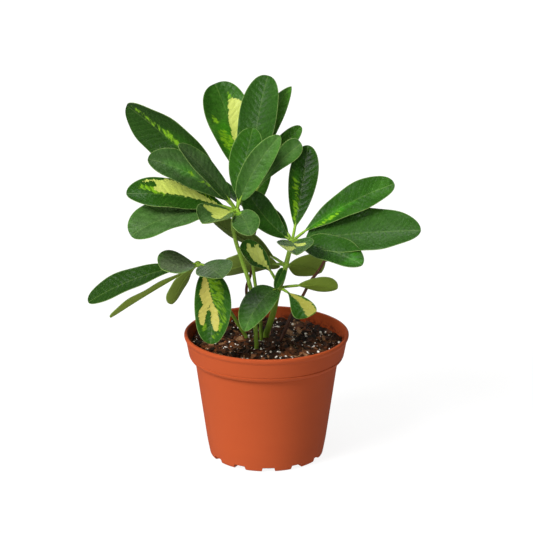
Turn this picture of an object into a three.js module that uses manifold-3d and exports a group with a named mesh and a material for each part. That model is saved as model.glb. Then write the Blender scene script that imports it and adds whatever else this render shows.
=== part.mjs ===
// Potted umbrella plant: a variegated dwarf umbrella tree in a small moulded nursery pot.
// Millimetres, +Z up, origin at the middle of the pot's underside.
// Five single compound leaves and one leafy stem stand rooted in the potting mix.
import * as THREE from 'three';
import { mergeVertices } from 'three/addons/utils/BufferGeometryUtils.js';
import Module from 'manifold-3d';

const wasm = await Module();
wasm.setup();

// Pot
const POT_HEIGHT = 83.5;
const POT_RIM_RADIUS = 54;
const POT_SEGMENTS = 48;
const BAND_BOTTOM = 66.4;
const FLOOR_THICKNESS = 1.6;
const DRAIN_SLOTS = 12;
const DRAIN_SLOT_WIDTH = 8.6;
const DRAIN_SLOT_HEIGHT = 3;
const DRAIN_SLOT_START = 2;

// Potting mix
const FIT_GAP = 0.3;
const MIX_LEVEL = 76;
const MIX_EDGE_RADIUS = 50.4;
const ROOT_DEPTH_LEVEL = 52;

// Leaves
const BLADE_THICKNESS = 0.8;
const MIDRIB_DEPTH = 0.5;
const BLADE_STATIONS = 7;
const LEAFLET_STALK_RADIUS = 0.95;
const HUB_RADIUS = 2.3;
const STEM_SIDES = 8;

const UP = new THREE.Vector3(0, 0, 1);
const vec = (x, y, z) => new THREE.Vector3(x, y, z);
const radians = THREE.MathUtils.degToRad;

// Solids

// a closed three.js geometry as a solid
function solid(geometry) {
  const bare = geometry.clone();
  for (const name of Object.keys(bare.attributes)) {
    if (name !== 'position') bare.deleteAttribute(name);
  }
  const joined = mergeVertices(bare.index ? bare : mergeVertices(bare, 1e-5), 1e-5);
  const vertProperties = new Float32Array(joined.attributes.position.array);
  const triVerts = new Uint32Array(joined.index.array);
  return new wasm.Manifold(new wasm.Mesh({ numProp: 3, vertProperties, triVerts }));
}

// a solid back as a named three.js mesh
function named(name, body, material) {
  const mesh = body.getMesh();
  const geometry = new THREE.BufferGeometry();
  geometry.setAttribute('position', new THREE.BufferAttribute(new Float32Array(mesh.vertProperties), 3));
  geometry.setIndex(new THREE.BufferAttribute(new Uint32Array(mesh.triVerts), 1));
  geometry.computeVertexNormals();
  const result = new THREE.Mesh(geometry, material);
  result.name = name;
  return result;
}

// a closed skin through rings of equal point counts; the last `mirrored` sides of each ring split
// the other way, so the two faces of a thin blade have their diagonals over each other
function loft(rings, mirroredFrom = Infinity) {
  const count = rings[0].length;
  const position = [];
  for (const ring of rings) {
    for (const p of ring) position.push(p.x, p.y, p.z);
  }
  const index = [];
  for (let i = 0; i < rings.length - 1; i += 1) {
    for (let k = 0; k < count; k += 1) {
      const next = (k + 1) % count;
      const a = i * count + k;
      const b = i * count + next;
      const c = (i + 1) * count + next;
      const d = (i + 1) * count + k;
      if (k < mirroredFrom) index.push(a, b, c, a, c, d);
      else index.push(a, b, d, b, c, d);
    }
  }
  const centre = (ring) => ring.reduce((sum, p) => sum.add(p), vec(0, 0, 0)).divideScalar(count);
  const first = centre(rings[0]);
  const last = centre(rings[rings.length - 1]);
  position.push(first.x, first.y, first.z, last.x, last.y, last.z);
  const head = rings.length * count;
  const offset = (rings.length - 1) * count;
  for (let k = 0; k < count; k += 1) {
    const next = (k + 1) % count;
    index.push(head, next, k);
    index.push(head + 1, offset + k, offset + next);
  }
  const geometry = new THREE.BufferGeometry();
  geometry.setAttribute('position', new THREE.Float32BufferAttribute(position, 3));
  geometry.setIndex(index);
  return outward(geometry);
}

// turns the faces over where the volume comes out negative
function outward(geometry) {
  const p = geometry.attributes.position;
  const index = geometry.index.array;
  let volume = 0;
  for (let i = 0; i < index.length; i += 3) {
    const a = vec().fromBufferAttribute(p, index[i]);
    const b = vec().fromBufferAttribute(p, index[i + 1]);
    const c = vec().fromBufferAttribute(p, index[i + 2]);
    volume += a.dot(b.cross(c));
  }
  if (volume < 0) {
    for (let i = 0; i < index.length; i += 3) {
      const keep = index[i + 1];
      index[i + 1] = index[i + 2];
      index[i + 2] = keep;
    }
  }
  return geometry;
}

// Leaflets

// azimuth from +X towards +Y and height above level, both in degrees
function heading(azimuth, elevation) {
  const a = radians(azimuth);
  const e = radians(elevation);
  return vec(Math.cos(a) * Math.cos(e), Math.sin(a) * Math.cos(e), Math.sin(e));
}

const LEAFLET = {
  droop: 22, // degrees the blade bends down from its stalk to its tip
  roll: 0, // degrees the face turns about the midrib
  twist: 0, // degrees that turn changes from the stalk to the tip
  cup: 14, // degrees the two halves rise from the midrib
  stalk: 9, // length of the leaflet's own stalk
  sweep: 0, // degrees the blade bends sideways
  full: 0.64, // share of the length where the blade is widest
  blunt: 0.5, // a small value gives a round tip, a large one a pointed tip
};

function halfWidth(leaf, u) {
  const a = (leaf.full / (1 - leaf.full)) * leaf.blunt;
  const b = leaf.blunt;
  const top = leaf.full ** a * (1 - leaf.full) ** b;
  return ((leaf.width / 2) * (u ** a * (1 - u) ** b)) / top;
}

// one leaflet: a round stalk that flattens into a thin, cupped, drooping blade
function leaflet([azimuth, elevation, length, width, given = {}], hub, frondFacing) {
  const leaf = { ...LEAFLET, ...given, width };
  const facing = heading(...(leaf.facing ?? frondFacing));
  const tangent = (s) => heading(azimuth + leaf.sweep * (s - 0.5), elevation + leaf.droop * (0.5 - s));
  const steps = 48;
  const centres = [hub.clone()];
  for (let i = 0; i < steps; i += 1) {
    const dir = tangent((i + 0.5) / steps).multiplyScalar(length / steps);
    centres.push(centres[i].clone().add(dir));
  }
  const centreAt = (s) => {
    const x = Math.min(Math.max(s, 0), 1) * steps;
    const i = Math.min(Math.floor(x), steps - 1);
    return centres[i].clone().lerp(centres[i + 1], x - i);
  };
  const frameAt = (s) => {
    const along = tangent(s);
    const normal = facing.clone().addScaledVector(along, -facing.dot(along)).normalize();
    const side = normal.clone().cross(along);
    const r = radians(leaf.roll + leaf.twist * (s - 0.5));
    return {
      side: side.clone().multiplyScalar(Math.cos(r)).addScaledVector(normal, Math.sin(r)),
      normal: side.clone().multiplyScalar(-Math.sin(r)).addScaledVector(normal, Math.cos(r)),
    };
  };
  const across = [-1, -0.5, 0, 0.5, 1];
  const cup = radians(leaf.cup);
  const rings = [];
  for (const s of [0, (0.5 * leaf.stalk) / length]) {
    const { side, normal } = frameAt(s);
    const centre = centreAt(s);
    const ring = [];
    for (let k = 0; k < 10; k += 1) {
      const turn = radians(k < 5 ? 162 - 36 * k : -18 - 36 * (k - 5));
      ring.push(centre.clone()
        .addScaledVector(side, Math.cos(turn) * LEAFLET_STALK_RADIUS)
        .addScaledVector(normal, Math.sin(turn) * LEAFLET_STALK_RADIUS));
    }
    rings.push(ring);
  }
  const start = leaf.stalk / length;
  for (let i = 0; i <= BLADE_STATIONS; i += 1) {
    const u = 1 - (1 - i / BLADE_STATIONS) ** 1.6;
    const s = start + (1 - start) * u;
    const { side, normal } = frameAt(s);
    const centre = centreAt(s);
    const w = Math.max(0.8, halfWidth(leaf, Math.min(u, 0.9995)));
    const place = (v, lift) => centre.clone()
      .addScaledVector(side, v * w * Math.cos(cup))
      .addScaledVector(normal, w * Math.sin(cup) * Math.abs(v) ** 1.3 + lift);
    const ring = across.map((v) => place(v, BLADE_THICKNESS / 2));
    for (const v of [...across].reverse()) {
      const rib = v === 0 ? MIDRIB_DEPTH * (1 - 0.8 * u) : 0;
      ring.push(place(v, -BLADE_THICKNESS / 2 - rib));
    }
    rings.push(ring);
  }
  return solid(loft(rings, 5));
}

// a round stem or leaf stalk with a radius for each share of its way; its rooted foot stands straight
function stem(points, radii) {
  const curve = new THREE.CatmullRomCurve3(points.slice(1).map((p) => vec(...p)), false, 'centripetal');
  const count = 2 * (points.length - 2);
  const ringAt = (centre, along, t) => {
    const side = vec(0, 1, 0).cross(along).normalize();
    const front = along.clone().cross(side);
    const x = t * (radii.length - 1);
    const k = Math.min(Math.floor(x), radii.length - 2);
    const radius = radii[k] + (radii[k + 1] - radii[k]) * (x - k);
    const ring = [];
    for (let j = 0; j < STEM_SIDES; j += 1) {
      const turn = (2 * Math.PI * j) / STEM_SIDES;
      ring.push(centre.clone()
        .addScaledVector(side, radius * Math.cos(turn))
        .addScaledVector(front, radius * Math.sin(turn)));
    }
    return ring;
  };
  const rings = [ringAt(vec(...points[0]), UP, 0), ringAt(vec(...points[1]), UP, 0)];
  for (let i = 1; i <= count; i += 1) {
    rings.push(ringAt(curve.getPoint(i / count), curve.getTangent(i / count), i / count));
  }
  return solid(loft(rings));
}

// a whorl of leaflets on a small knob, where they all meet
function whorl({ hub, facing, leaflets, knob = HUB_RADIUS }) {
  const centre = vec(...hub);
  const ball = new THREE.IcosahedronGeometry(knob, 1);
  ball.translate(centre.x, centre.y, centre.z);
  let body = solid(ball);
  for (const given of leaflets) body = body.add(leaflet(given, centre, facing));
  return body;
}

function grown({ path, radii, whorls }) {
  let body = stem(path, radii);
  for (const each of whorls) body = body.add(whorl(each));
  return body;
}

// Fronds. A leaflet is [azimuth, elevation, length, width, options].

const TALL_LEFT = {
  path: [[-6.5, -13, ROOT_DEPTH_LEVEL], [-6.5, -13, 80], [-7.8, -12.5, 100], [-10.7, -12, 119.6],
    [-15.6, -12, 136], [-20, -12.5, 151], [-21.4, -13.2, 163], [-19, -14, 170.6]],
  radii: [1.5, 1.4, 1.35, 1.3, 1.25],
  whorls: [{
    hub: [-19, -14, 170.6],
    facing: [255, 50],
    leaflets: [
      [160.5, 40, 98, 31, { stalk: 14, droop: 18, full: 0.66, blunt: 0.42, roll: -36, twist: -84 }],
      [184, 32, 67.5, 23.5, { droop: 38 }],
      [200, 50.5, 61, 15.5, { facing: [306, 38], full: 0.52, droop: 16 }],
      [187, 11, 72, 24, { full: 0.62 }],
      [196, -9, 72, 31, { droop: 45, blunt: 0.42, roll: 8 }],
      [231, -1, 34, 25, { cup: 26, facing: [262, 62], droop: 10, stalk: 5 }],
      [284, -7, 40, 18, { droop: 30, stalk: 5 }],
      [56, 69, 54, 21, { facing: [262, 30], sweep: 20, full: 0.58 }],
      [352, 61, 58, 16.5, { facing: [275, 30], droop: 26, stalk: 7, roll: 4, full: 0.5 }],
    ],
  }],
};

const TOP = {
  path: [[-3.4, -1, ROOT_DEPTH_LEVEL], [-3.4, -1, 80], [-4.5, 1, 98], [-7.5, 6, 115.5], [-9, 9.5, 128],
    [-9.8, 13.5, 143], [-10.6, 14.3, 157], [-11, 14, 168.6]],
  radii: [1.2, 1.15, 1.1, 1.05, 1.05],
  whorls: [{
    hub: [-11, 14, 168.6],
    facing: [262, 35],
    leaflets: [
      [139, 68, 80, 30.5, { facing: [275, 35], stalk: 10, full: 0.7, blunt: 0.42 }],
      [50, 77, 83, 25.5, { full: 0.64, blunt: 0.44 }],
      [38, 65, 81, 15, { roll: 30, full: 0.6, blunt: 0.75, sweep: -20, droop: 40 }],
      [31, 49, 60, 12.5, { roll: 10, sweep: -14 }],
      [350, 50, 53, 14.5, { facing: [300, 20], roll: -40, full: 0.82, blunt: 0.35 }],
    ],
  }],
};

const LOW_LEFT = {
  path: [[-13.4, 4, ROOT_DEPTH_LEVEL], [-13.4, 4, 79], [-18.2, 1, 88], [-22.8, -2, 97],
    [-33.3, -8.5, 114.5], [-41, -14.5, 128], [-44, -18, 136]],
  radii: [1.2, 1.15, 1.1, 1.05],
  whorls: [{
    hub: [-44, -18, 136],
    facing: [262, 60],
    leaflets: [
      [187, -18, 75, 17.5, { facing: [262, 55], droop: 28 }],
      [163, -35, 74, 15, { facing: [130, 50], droop: 4, roll: -2 }],
      [114, -42, 62, 14, { facing: [128, 48], blunt: 0.42 }],
      [219, 5.5, 29.5, 24, { facing: [262, 60], stalk: 2.5 }],
      [294, 4, 41, 24.5, { facing: [275, 48] }],
      [279, -58, 55, 24.4, { droop: 46, blunt: 0.5, full: 0.5, sweep: -88, stalk: 7 }],
    ],
  }],
};

const LEAFY_STEM = {
  path: [[-0.3, 5, ROOT_DEPTH_LEVEL], [-0.3, 5, 80], [4.2, 0, 96.3], [8, -7.5, 116], [10.3, -6.4, 122],
    [12.6, -3.5, 130.6], [14.5, -4.5, 139], [16.5, -6, 147.6]],
  radii: [2.1, 1.95, 1.8, 1.7, 1.55, 1.4],
  whorls: [
    {
      hub: [16.5, -6, 147.6],
      facing: [280, 50],
      leaflets: [
        [64, 68, 63, 19.5, { facing: [265, 20], droop: -10 }],
        [4, 29.5, 76, 22, { full: 0.68 }],
        [350, 8, 84, 34, { full: 0.5, droop: 8 }],
        [326, -7, 54, 23, { full: 0.5 }],
        [274, 4, 38, 26, { cup: 25, facing: [270, 65] }],
        [171, 48, 43.5, 18.5, { facing: [262, 25], full: 0.66, blunt: 0.42, stalk: 3, droop: -30 }],
        [150, 48, 26, 7, { stalk: 5 }],
      ],
    },
    {
      hub: [12.6, -3.5, 130.6],
      facing: [90, 80],
      knob: 2.5,
      leaflets: [
        [167, 29, 56, 20, { roll: 42, droop: 4 }],
        [128, -19, 78, 19, { facing: [50, 38], full: 0.44 }],
        [236, -45, 18, 7, { stalk: 3, full: 0.4, facing: [300, 30] }],
        [40, -20, 33, 23, { facing: [114, 30], stalk: 2 }],
      ],
    },
    {
      hub: [8, -7.5, 116.5],
      facing: [270, 60],
      knob: 2.7,
      leaflets: [
        [238, -23, 47, 21, { full: 0.48, blunt: 0.62, droop: 60, stalk: 4 }],
        [302, -18, 36, 17, { droop: 50, full: 0.85, blunt: 0.25 }],
        [8, -3, 39, 14, { facing: [95, 28], stalk: 12 }],
        [213, 47, 45, 16.5, { facing: [255, 40], droop: 46, stalk: 13, full: 0.72 }],
      ],
    },
  ],
};

const RIGHT_REAR = {
  path: [[9.1, -4.7, ROOT_DEPTH_LEVEL], [9.1, -4.7, 79], [13.1, -4, 89], [16.7, -3, 97.4], [24, -1, 109.6],
    [28.5, 1, 118], [34, 2.5, 125], [38.5, 3, 133]],
  radii: [1.1, 1.05, 1, 0.95],
  whorls: [{
    hub: [38.5, 3, 133],
    facing: [90, 80],
    leaflets: [
      [20, 25, 48, 22, {}],
      [62, 34, 50, 20, {}],
      [0, 32, 40, 16, {}],
      [338, 22, 36, 16, {}],
    ],
  }],
};

const REAR = {
  path: [[-7, 11, ROOT_DEPTH_LEVEL], [-7, 11, 80], [-11.5, 12, 97], [-13.2, 13, 109], [-10.5, 13.9, 118.5],
    [-9.2, 14.5, 126], [-9, 19, 138], [-6, 36, 149]],
  radii: [1.05, 1, 0.95, 0.95],
  whorls: [{
    hub: [-6, 36, 149],
    facing: [90, 80],
    leaflets: [
      [90, 60, 50, 20, {}],
      [150, 30, 45, 20, {}],
      [115, 12, 45, 20, {}],
      [192, 8, 40, 19, {}],
      [80, -6, 32, 17, {}],
    ],
  }],
};

// Pot

// radius and height along the outside, then back down the inside
const POT_PROFILE = [
  [0, 0], [36.2, 0], [37.4, 0.6], [38, 3.6], [39.3, 10.4], [47.1, BAND_BOTTOM], [49.6, 66.9], [50.3, 67.9],
  [51, 70], [52.8, 79.8], [53.6, 80.5], [POT_RIM_RADIUS, 81.6], [53.9, 83.1], [53.3, POT_HEIGHT],
  [52.2, POT_HEIGHT], [51.8, 82.9], [51.6, 79.8], [49.8, 70.6], [49.1, 68.8], [48.4, 68.2], [46.2, 67.7],
  [45.7, 66.7], [38.1, 10.4], [36.7, 3.6], [36.2, FLOOR_THICKNESS], [0, FLOOR_THICKNESS],
];

function turned(profile) {
  const geometry = new THREE.LatheGeometry(profile.map(([r, z]) => new THREE.Vector2(r, z)), POT_SEGMENTS);
  geometry.rotateX(Math.PI / 2);
  const joined = mergeVertices(stripped(geometry), 1e-4);
  return outward(withoutFlat(joined));
}

function stripped(geometry) {
  geometry.deleteAttribute('normal');
  geometry.deleteAttribute('uv');
  return geometry;
}

// drops the triangles that closed to a line on the axis
function withoutFlat(geometry) {
  const index = geometry.index.array;
  const kept = [];
  for (let i = 0; i < index.length; i += 3) {
    const [a, b, c] = [index[i], index[i + 1], index[i + 2]];
    if (a !== b && b !== c && c !== a) kept.push(a, b, c);
  }
  geometry.setIndex(kept);
  return geometry;
}

function pot() {
  let body = solid(turned(POT_PROFILE));
  const half = DRAIN_SLOT_WIDTH / 2;
  const shape = new THREE.Shape();
  shape.moveTo(-half - 0.8, -1);
  shape.lineTo(half + 0.8, -1);
  shape.lineTo(half - 0.6, DRAIN_SLOT_HEIGHT);
  shape.lineTo(-half + 0.6, DRAIN_SLOT_HEIGHT);
  shape.closePath();
  for (let i = 0; i < DRAIN_SLOTS; i += 1) {
    const cutter = new THREE.ExtrudeGeometry(shape, { depth: 8.5, bevelEnabled: false });
    cutter.rotateX(Math.PI / 2);
    cutter.translate(0, -31, 0);
    cutter.rotateZ(radians(DRAIN_SLOT_START + (360 / DRAIN_SLOTS) * i));
    body = body.subtract(solid(stripped(cutter)));
  }
  return body;
}

// Potting mix: a coarse, lumpy top, a little higher round the stems and lower at the right rear

function lump(x, y) {
  const waves = Math.sin(0.41 * x + 1.3) * Math.cos(0.37 * y - 0.6) + 0.6 * Math.sin(0.23 * x - 0.52 * y + 2.1);
  const crumbs = 0.7 * Math.sin(1.1 * x + 0.4 * y) * Math.sin(0.9 * y - 0.7 * x + 1.7);
  return 0.55 * waves + 0.45 * crumbs;
}

function mixHeight(x, y) {
  const r = Math.hypot(x, y);
  const heap = 1.6 * Math.exp(-((r / 22) ** 2));
  const dip = 1.5 * Math.exp(-(((x - 26) ** 2 + (y - 22) ** 2) / 300));
  return MIX_LEVEL - 0.4 + heap - dip + lump(x, y) * Math.min(1, (MIX_EDGE_RADIUS - r) / 4 + 0.35);
}

function mix() {
  const wall = [[35.8, 1.9], [37.8, 10.4], [45.4, 66.8], [45.9, 68], [48.1, 68.5], [49.4, 70.8]];
  const ringRadii = [MIX_EDGE_RADIUS, 43, 35, 27, 18.5, 9.5];
  const rings = wall.map(([r, z]) => ringOf(r, () => z));
  for (const r of ringRadii) rings.push(ringOf(r, mixHeight));
  let body = solid(loft(rings));
  for (const { path, radii } of [TALL_LEFT, TOP, LOW_LEFT, LEAFY_STEM, RIGHT_REAR, REAR]) {
    const [x, y] = path[0];
    const hole = new THREE.CylinderGeometry(radii[0] + FIT_GAP + 0.1, radii[0] + FIT_GAP + 0.1, 40, 12);
    hole.rotateX(Math.PI / 2);
    hole.translate(x, y, ROOT_DEPTH_LEVEL - FIT_GAP + 20);
    body = body.subtract(solid(stripped(hole)));
  }
  return body;
}

function ringOf(radius, height) {
  const ring = [];
  for (let k = 0; k < POT_SEGMENTS; k += 1) {
    const turn = (2 * Math.PI * k) / POT_SEGMENTS;
    const x = radius * Math.cos(turn);
    const y = radius * Math.sin(turn);
    ring.push(vec(x, y, height(x, y)));
  }
  return ring;
}

// Materials and assembly

const plastic = new THREE.MeshStandardMaterial({ color: 0xb0532f, roughness: 0.55, metalness: 0 });
const soil = new THREE.MeshStandardMaterial({ color: 0x35211a, roughness: 0.95, metalness: 0 });
const leafTissue = (color) => new THREE.MeshStandardMaterial({ color, roughness: 0.4, metalness: 0 });

const plant = new THREE.Group();
plant.name = 'potted_umbrella_plant';
plant.up.copy(UP);
plant.add(named('pot', pot(), plastic));
plant.add(named('potting_mix', mix(), soil));
plant.add(named('frond_tall_left', grown(TALL_LEFT), leafTissue(0x3c6a2a)));
plant.add(named('frond_top', grown(TOP), leafTissue(0x37652a)));
plant.add(named('frond_low_left', grown(LOW_LEFT), leafTissue(0x3f6b30)));
plant.add(named('leafy_stem', grown(LEAFY_STEM), leafTissue(0x3a6b28)));
plant.add(named('frond_right_rear', grown(RIGHT_REAR), leafTissue(0x44682c)));
plant.add(named('frond_rear', grown(REAR), leafTissue(0x44682c)));

export default plant;
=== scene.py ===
"""Potted umbrella plant: variegated leaflets in whorls, a moulded nursery pot and bark potting mix."""

import math
import random
from functools import partial
from types import SimpleNamespace

import bmesh
import bpy
import numpy as np
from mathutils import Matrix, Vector, noise


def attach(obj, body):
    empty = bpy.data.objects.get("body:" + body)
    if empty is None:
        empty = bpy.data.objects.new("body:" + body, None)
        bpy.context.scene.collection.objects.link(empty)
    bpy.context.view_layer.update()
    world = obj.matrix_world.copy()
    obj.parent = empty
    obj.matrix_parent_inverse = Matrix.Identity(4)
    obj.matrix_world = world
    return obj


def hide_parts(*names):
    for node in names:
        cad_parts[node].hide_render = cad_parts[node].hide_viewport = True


bl_info = {
    "name": "Potted Umbrella Plant",
    "version": (1, 0, 0),
    "blender": (4, 5, 0),
    "location": "3D View > Sidebar > Umbrella Plant",
    "description": "Builds a small variegated umbrella plant in a moulded nursery pot",
    "category": "Add Mesh",
}

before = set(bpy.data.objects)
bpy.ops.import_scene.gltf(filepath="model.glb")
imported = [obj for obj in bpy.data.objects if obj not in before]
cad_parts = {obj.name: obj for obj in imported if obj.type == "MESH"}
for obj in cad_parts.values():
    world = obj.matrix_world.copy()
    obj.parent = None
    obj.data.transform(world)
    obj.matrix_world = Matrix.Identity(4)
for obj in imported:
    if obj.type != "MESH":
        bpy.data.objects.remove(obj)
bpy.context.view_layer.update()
MM = 0.001

# Leaflets. Each is (azimuth, elevation, length, width, options), in degrees and millimetres.
# Of the options, droop and sweep bend the blade over its length, roll and twist turn it about its
# midrib, cup raises its halves, stalk is a length, full is the share of the way where it is widest,
# blunt rounds its ends, and facing is the heading of its upper face. shade lightens or darkens its
# green: partly its own tone, partly painted shade on leaflets that lie in shadow and painted light on
# ones turned away from the lamp. The sheen option lays a painted grey sheen where it is positive and
# painted shade where it is negative. ripe yellows its marks, and past 1 it darkens their cream with
# painted shade. Marks are cream, lime and painted light, the last a brighter green where light falls on
# a blade or shines through it. They are outlines in percent: the way from base to tip, and the share of
# the half width, positive on the left as one looks from the base to the tip over the upper face.

LEAFLET = dict(
    droop=22, roll=0, twist=0, cup=14, stalk=9, sweep=0, full=0.64, blunt=0.5,
    shade=0.0, bloom=0.0, ripe=0.0, cream=(), lime=(), bright=())

TALL_LEFT = dict(
    name="tall_left_foliage", node="frond_tall_left", stalk="green", radii=[1.5, 1.4, 1.35, 1.3, 1.25],
    path=[(-6.5, -13, 52), (-6.5, -13, 80), (-7.8, -12.5, 100), (-10.7, -12, 119.6), (-15.6, -12, 136),
          (-20, -12.5, 151), (-21.4, -13.2, 163), (-19, -14, 170.6)],
    whorls=[
    dict(hub=(-19, -14, 170.6), facing=(255, 50), knob=2.3, leaflets=[
        (160.5, 40, 98, 31, dict(stalk=14, droop=18, full=0.66, blunt=0.42, roll=-36, twist=-84,
            shade=-1.2, bloom=-0.6,
            lime=[[(44, -2), (55, -2), (62, -5), (72, -5), (80, -7), (90, -20), (96, -40), (92, -42),
            (86, -30), (78, -20), (68, -20), (63, -36), (58, -25), (50, -18)], [(10, -30), (20, -50),
            (40, -60), (30, -30)]],
            cream=[[(2, -72), (10, -90), (22, -96), (15, -80)], [(2, -42), (10, -62), (20, -68),
            (10, -50)]],
            bright=[[(20, -20), (40, 10), (60, 10), (70, -20), (50, -60), (30, -70)]])),
        (184, 32, 67.5, 23.5, dict(droop=38, bloom=0.35, shade=-0.5,
            bright=[[(36, 10), (45, -30), (60, -40), (84, -30), (80, 10), (60, 30)]],
            lime=[[(40, 0), (46, -16), (56, -20), (52, -2)], [(10, 5), (20, 10), (40, 15), (30, -10)]])),
        (200, 50.5, 61, 15.5, dict(facing=(306, 38), full=0.52, droop=16, bloom=0.45, shade=-0.1)),
        (187, 11, 72, 24, dict(full=0.62, shade=-0.45,
            cream=[[(6, -10), (20, -45), (31, -68), (42, -68), (52, -88), (60, -95), (66, -84), (76, -88),
            (84, -84), (82, -68), (77, -76), (70, -68), (69, -52), (73, -45), (71, -26), (61, -8),
            (46, -10), (30, -3), (10, 4)]],
            lime=[[(60, -20), (70, -40), (84, -66), (88, -45), (80, -20), (68, 0), (60, 0)], [(10, -30),
            (30, -78), (52, -97), (40, -98), (18, -75)]])),
        (196, -9, 72, 31, dict(droop=45, blunt=0.42, roll=8, shade=0.05, bloom=0.4)),
        (231, -1, 34, 25, dict(cup=26, facing=(262, 62), droop=10, stalk=5, bloom=0.45, shade=0.1,
            cream=[[(2, -60), (15, -75), (32, -76), (60, -94), (62, -62), (50, -30), (62, -22), (60, 10),
            (58, 40), (40, 38), (20, 20), (3, 10)]])),
        (284, -7, 40, 18, dict(droop=30, stalk=5, bloom=0.4,
            lime=[[(0, -95), (0, 30), (12, 25), (22, -5), (28, -60), (15, -100)]])),
        (56, 69, 54, 21, dict(facing=(262, 30), sweep=20, full=0.58, shade=-0.15)),
        (352, 61, 58, 16.5, dict(facing=(275, 30), droop=26, stalk=7, roll=4, full=0.5, shade=0.3,
            bloom=0.3)),
    ])])

TOP = dict(
    name="top_foliage", node="frond_top", stalk="green", radii=[1.2, 1.15, 1.1, 1.05, 1.05],
    path=[(-3.4, -1, 52), (-3.4, -1, 80), (-4.5, 1, 98), (-7.5, 6, 115.5), (-9, 9.5, 128),
          (-9.8, 13.5, 143), (-10.6, 14.3, 157), (-11, 14, 168.6)],
    whorls=[
    dict(hub=(-11, 14, 168.6), facing=(262, 35), knob=2.3, leaflets=[
        (139, 68, 80, 30.5, dict(facing=(275, 35), stalk=10, full=0.7, blunt=0.42, shade=-0.05,
            cream=[[(36, -20), (38, 10), (47, 12), (53, 8), (59, 6), (65, 3), (71, -10), (77, -16),
            (82, -32), (81, -50), (77, -78), (50, -90), (38, -70)]],
            lime=[[(24, 20), (37, 62), (46, 72), (57, 76), (58, 50), (50, 20), (42, 12), (32, 0)],
            [(62, 50), (66, 72), (73, 70), (68, 50)], [(80, -30), (88, -40), (85, -52), (80, -50)]],
            bright=[[(10, -40), (10, 50), (40, 85), (62, 75), (66, 20), (40, -30)]])),
        (50, 77, 83, 25.5, dict(blunt=0.44, shade=-0.3, bloom=0.08)),
        (38, 65, 81, 15, dict(roll=30, full=0.6, blunt=0.75, sweep=-20, droop=40, shade=0.9)),
        (31, 49, 60, 12.5, dict(roll=10, sweep=-14, shade=0.9)),
        (350, 50, 53, 14.5, dict(facing=(300, 20), roll=-40, full=0.82, blunt=0.35, bloom=0.3)),
    ])])

LOW_LEFT = dict(
    name="low_left_foliage", node="frond_low_left", stalk="green", radii=[1.2, 1.15, 1.1, 1.05],
    path=[(-13.4, 4, 52), (-13.4, 4, 79), (-18.2, 1, 88), (-22.8, -2, 97), (-33.3, -8.5, 114.5),
          (-41, -14.5, 128), (-44, -18, 136)],
    whorls=[
    dict(hub=(-44, -18, 136), facing=(262, 60), knob=2.3, leaflets=[
        (187, -18, 75, 17.5, dict(facing=(262, 55), droop=28, shade=-0.8, bloom=-0.6)),
        (163, -35, 74, 15, dict(facing=(130, 50), droop=4, roll=-2)),
        (114, -42, 62, 14, dict(facing=(128, 48), blunt=0.42)),
        (219, 5.5, 29.5, 24, dict(stalk=2.5, bloom=1.5, shade=1.2)),
        (294, 4, 40.95, 24.5, dict(facing=(275, 48), bloom=0.55, shade=-1.3)),
        (279, -58, 55, 24.4, dict(droop=46, full=0.5, sweep=-88, stalk=7, shade=-0.35, ripe=0.9,
            cream=[[(2, -48), (12, -5), (20, -10), (31, -12), (39, -5), (44, -2), (49, 7), (55, 18),
            (62, 32), (72, 40), (82, 45), (83, 15), (76, 2), (70, -10), (60, -14), (46, -20), (50, -28),
            (55, -33), (65, -42), (76, -52), (76, -77), (65, -80), (55, -75), (47, -57), (40, -64),
            (32, -72), (19, -62)]],
            lime=[[(3, 25), (5, 72), (20, 75), (38, 68), (47, 55), (59, 68), (68, 76), (76, 65), (86, 50),
            (93, 20), (88, 0), (85, 46), (72, 42), (62, 35), (55, 20), (49, 10), (39, -2), (30, -8),
            (14, 0)], [(74, -55), (84, -70), (80, -30), (73, -40)]])),
    ])])

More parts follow.
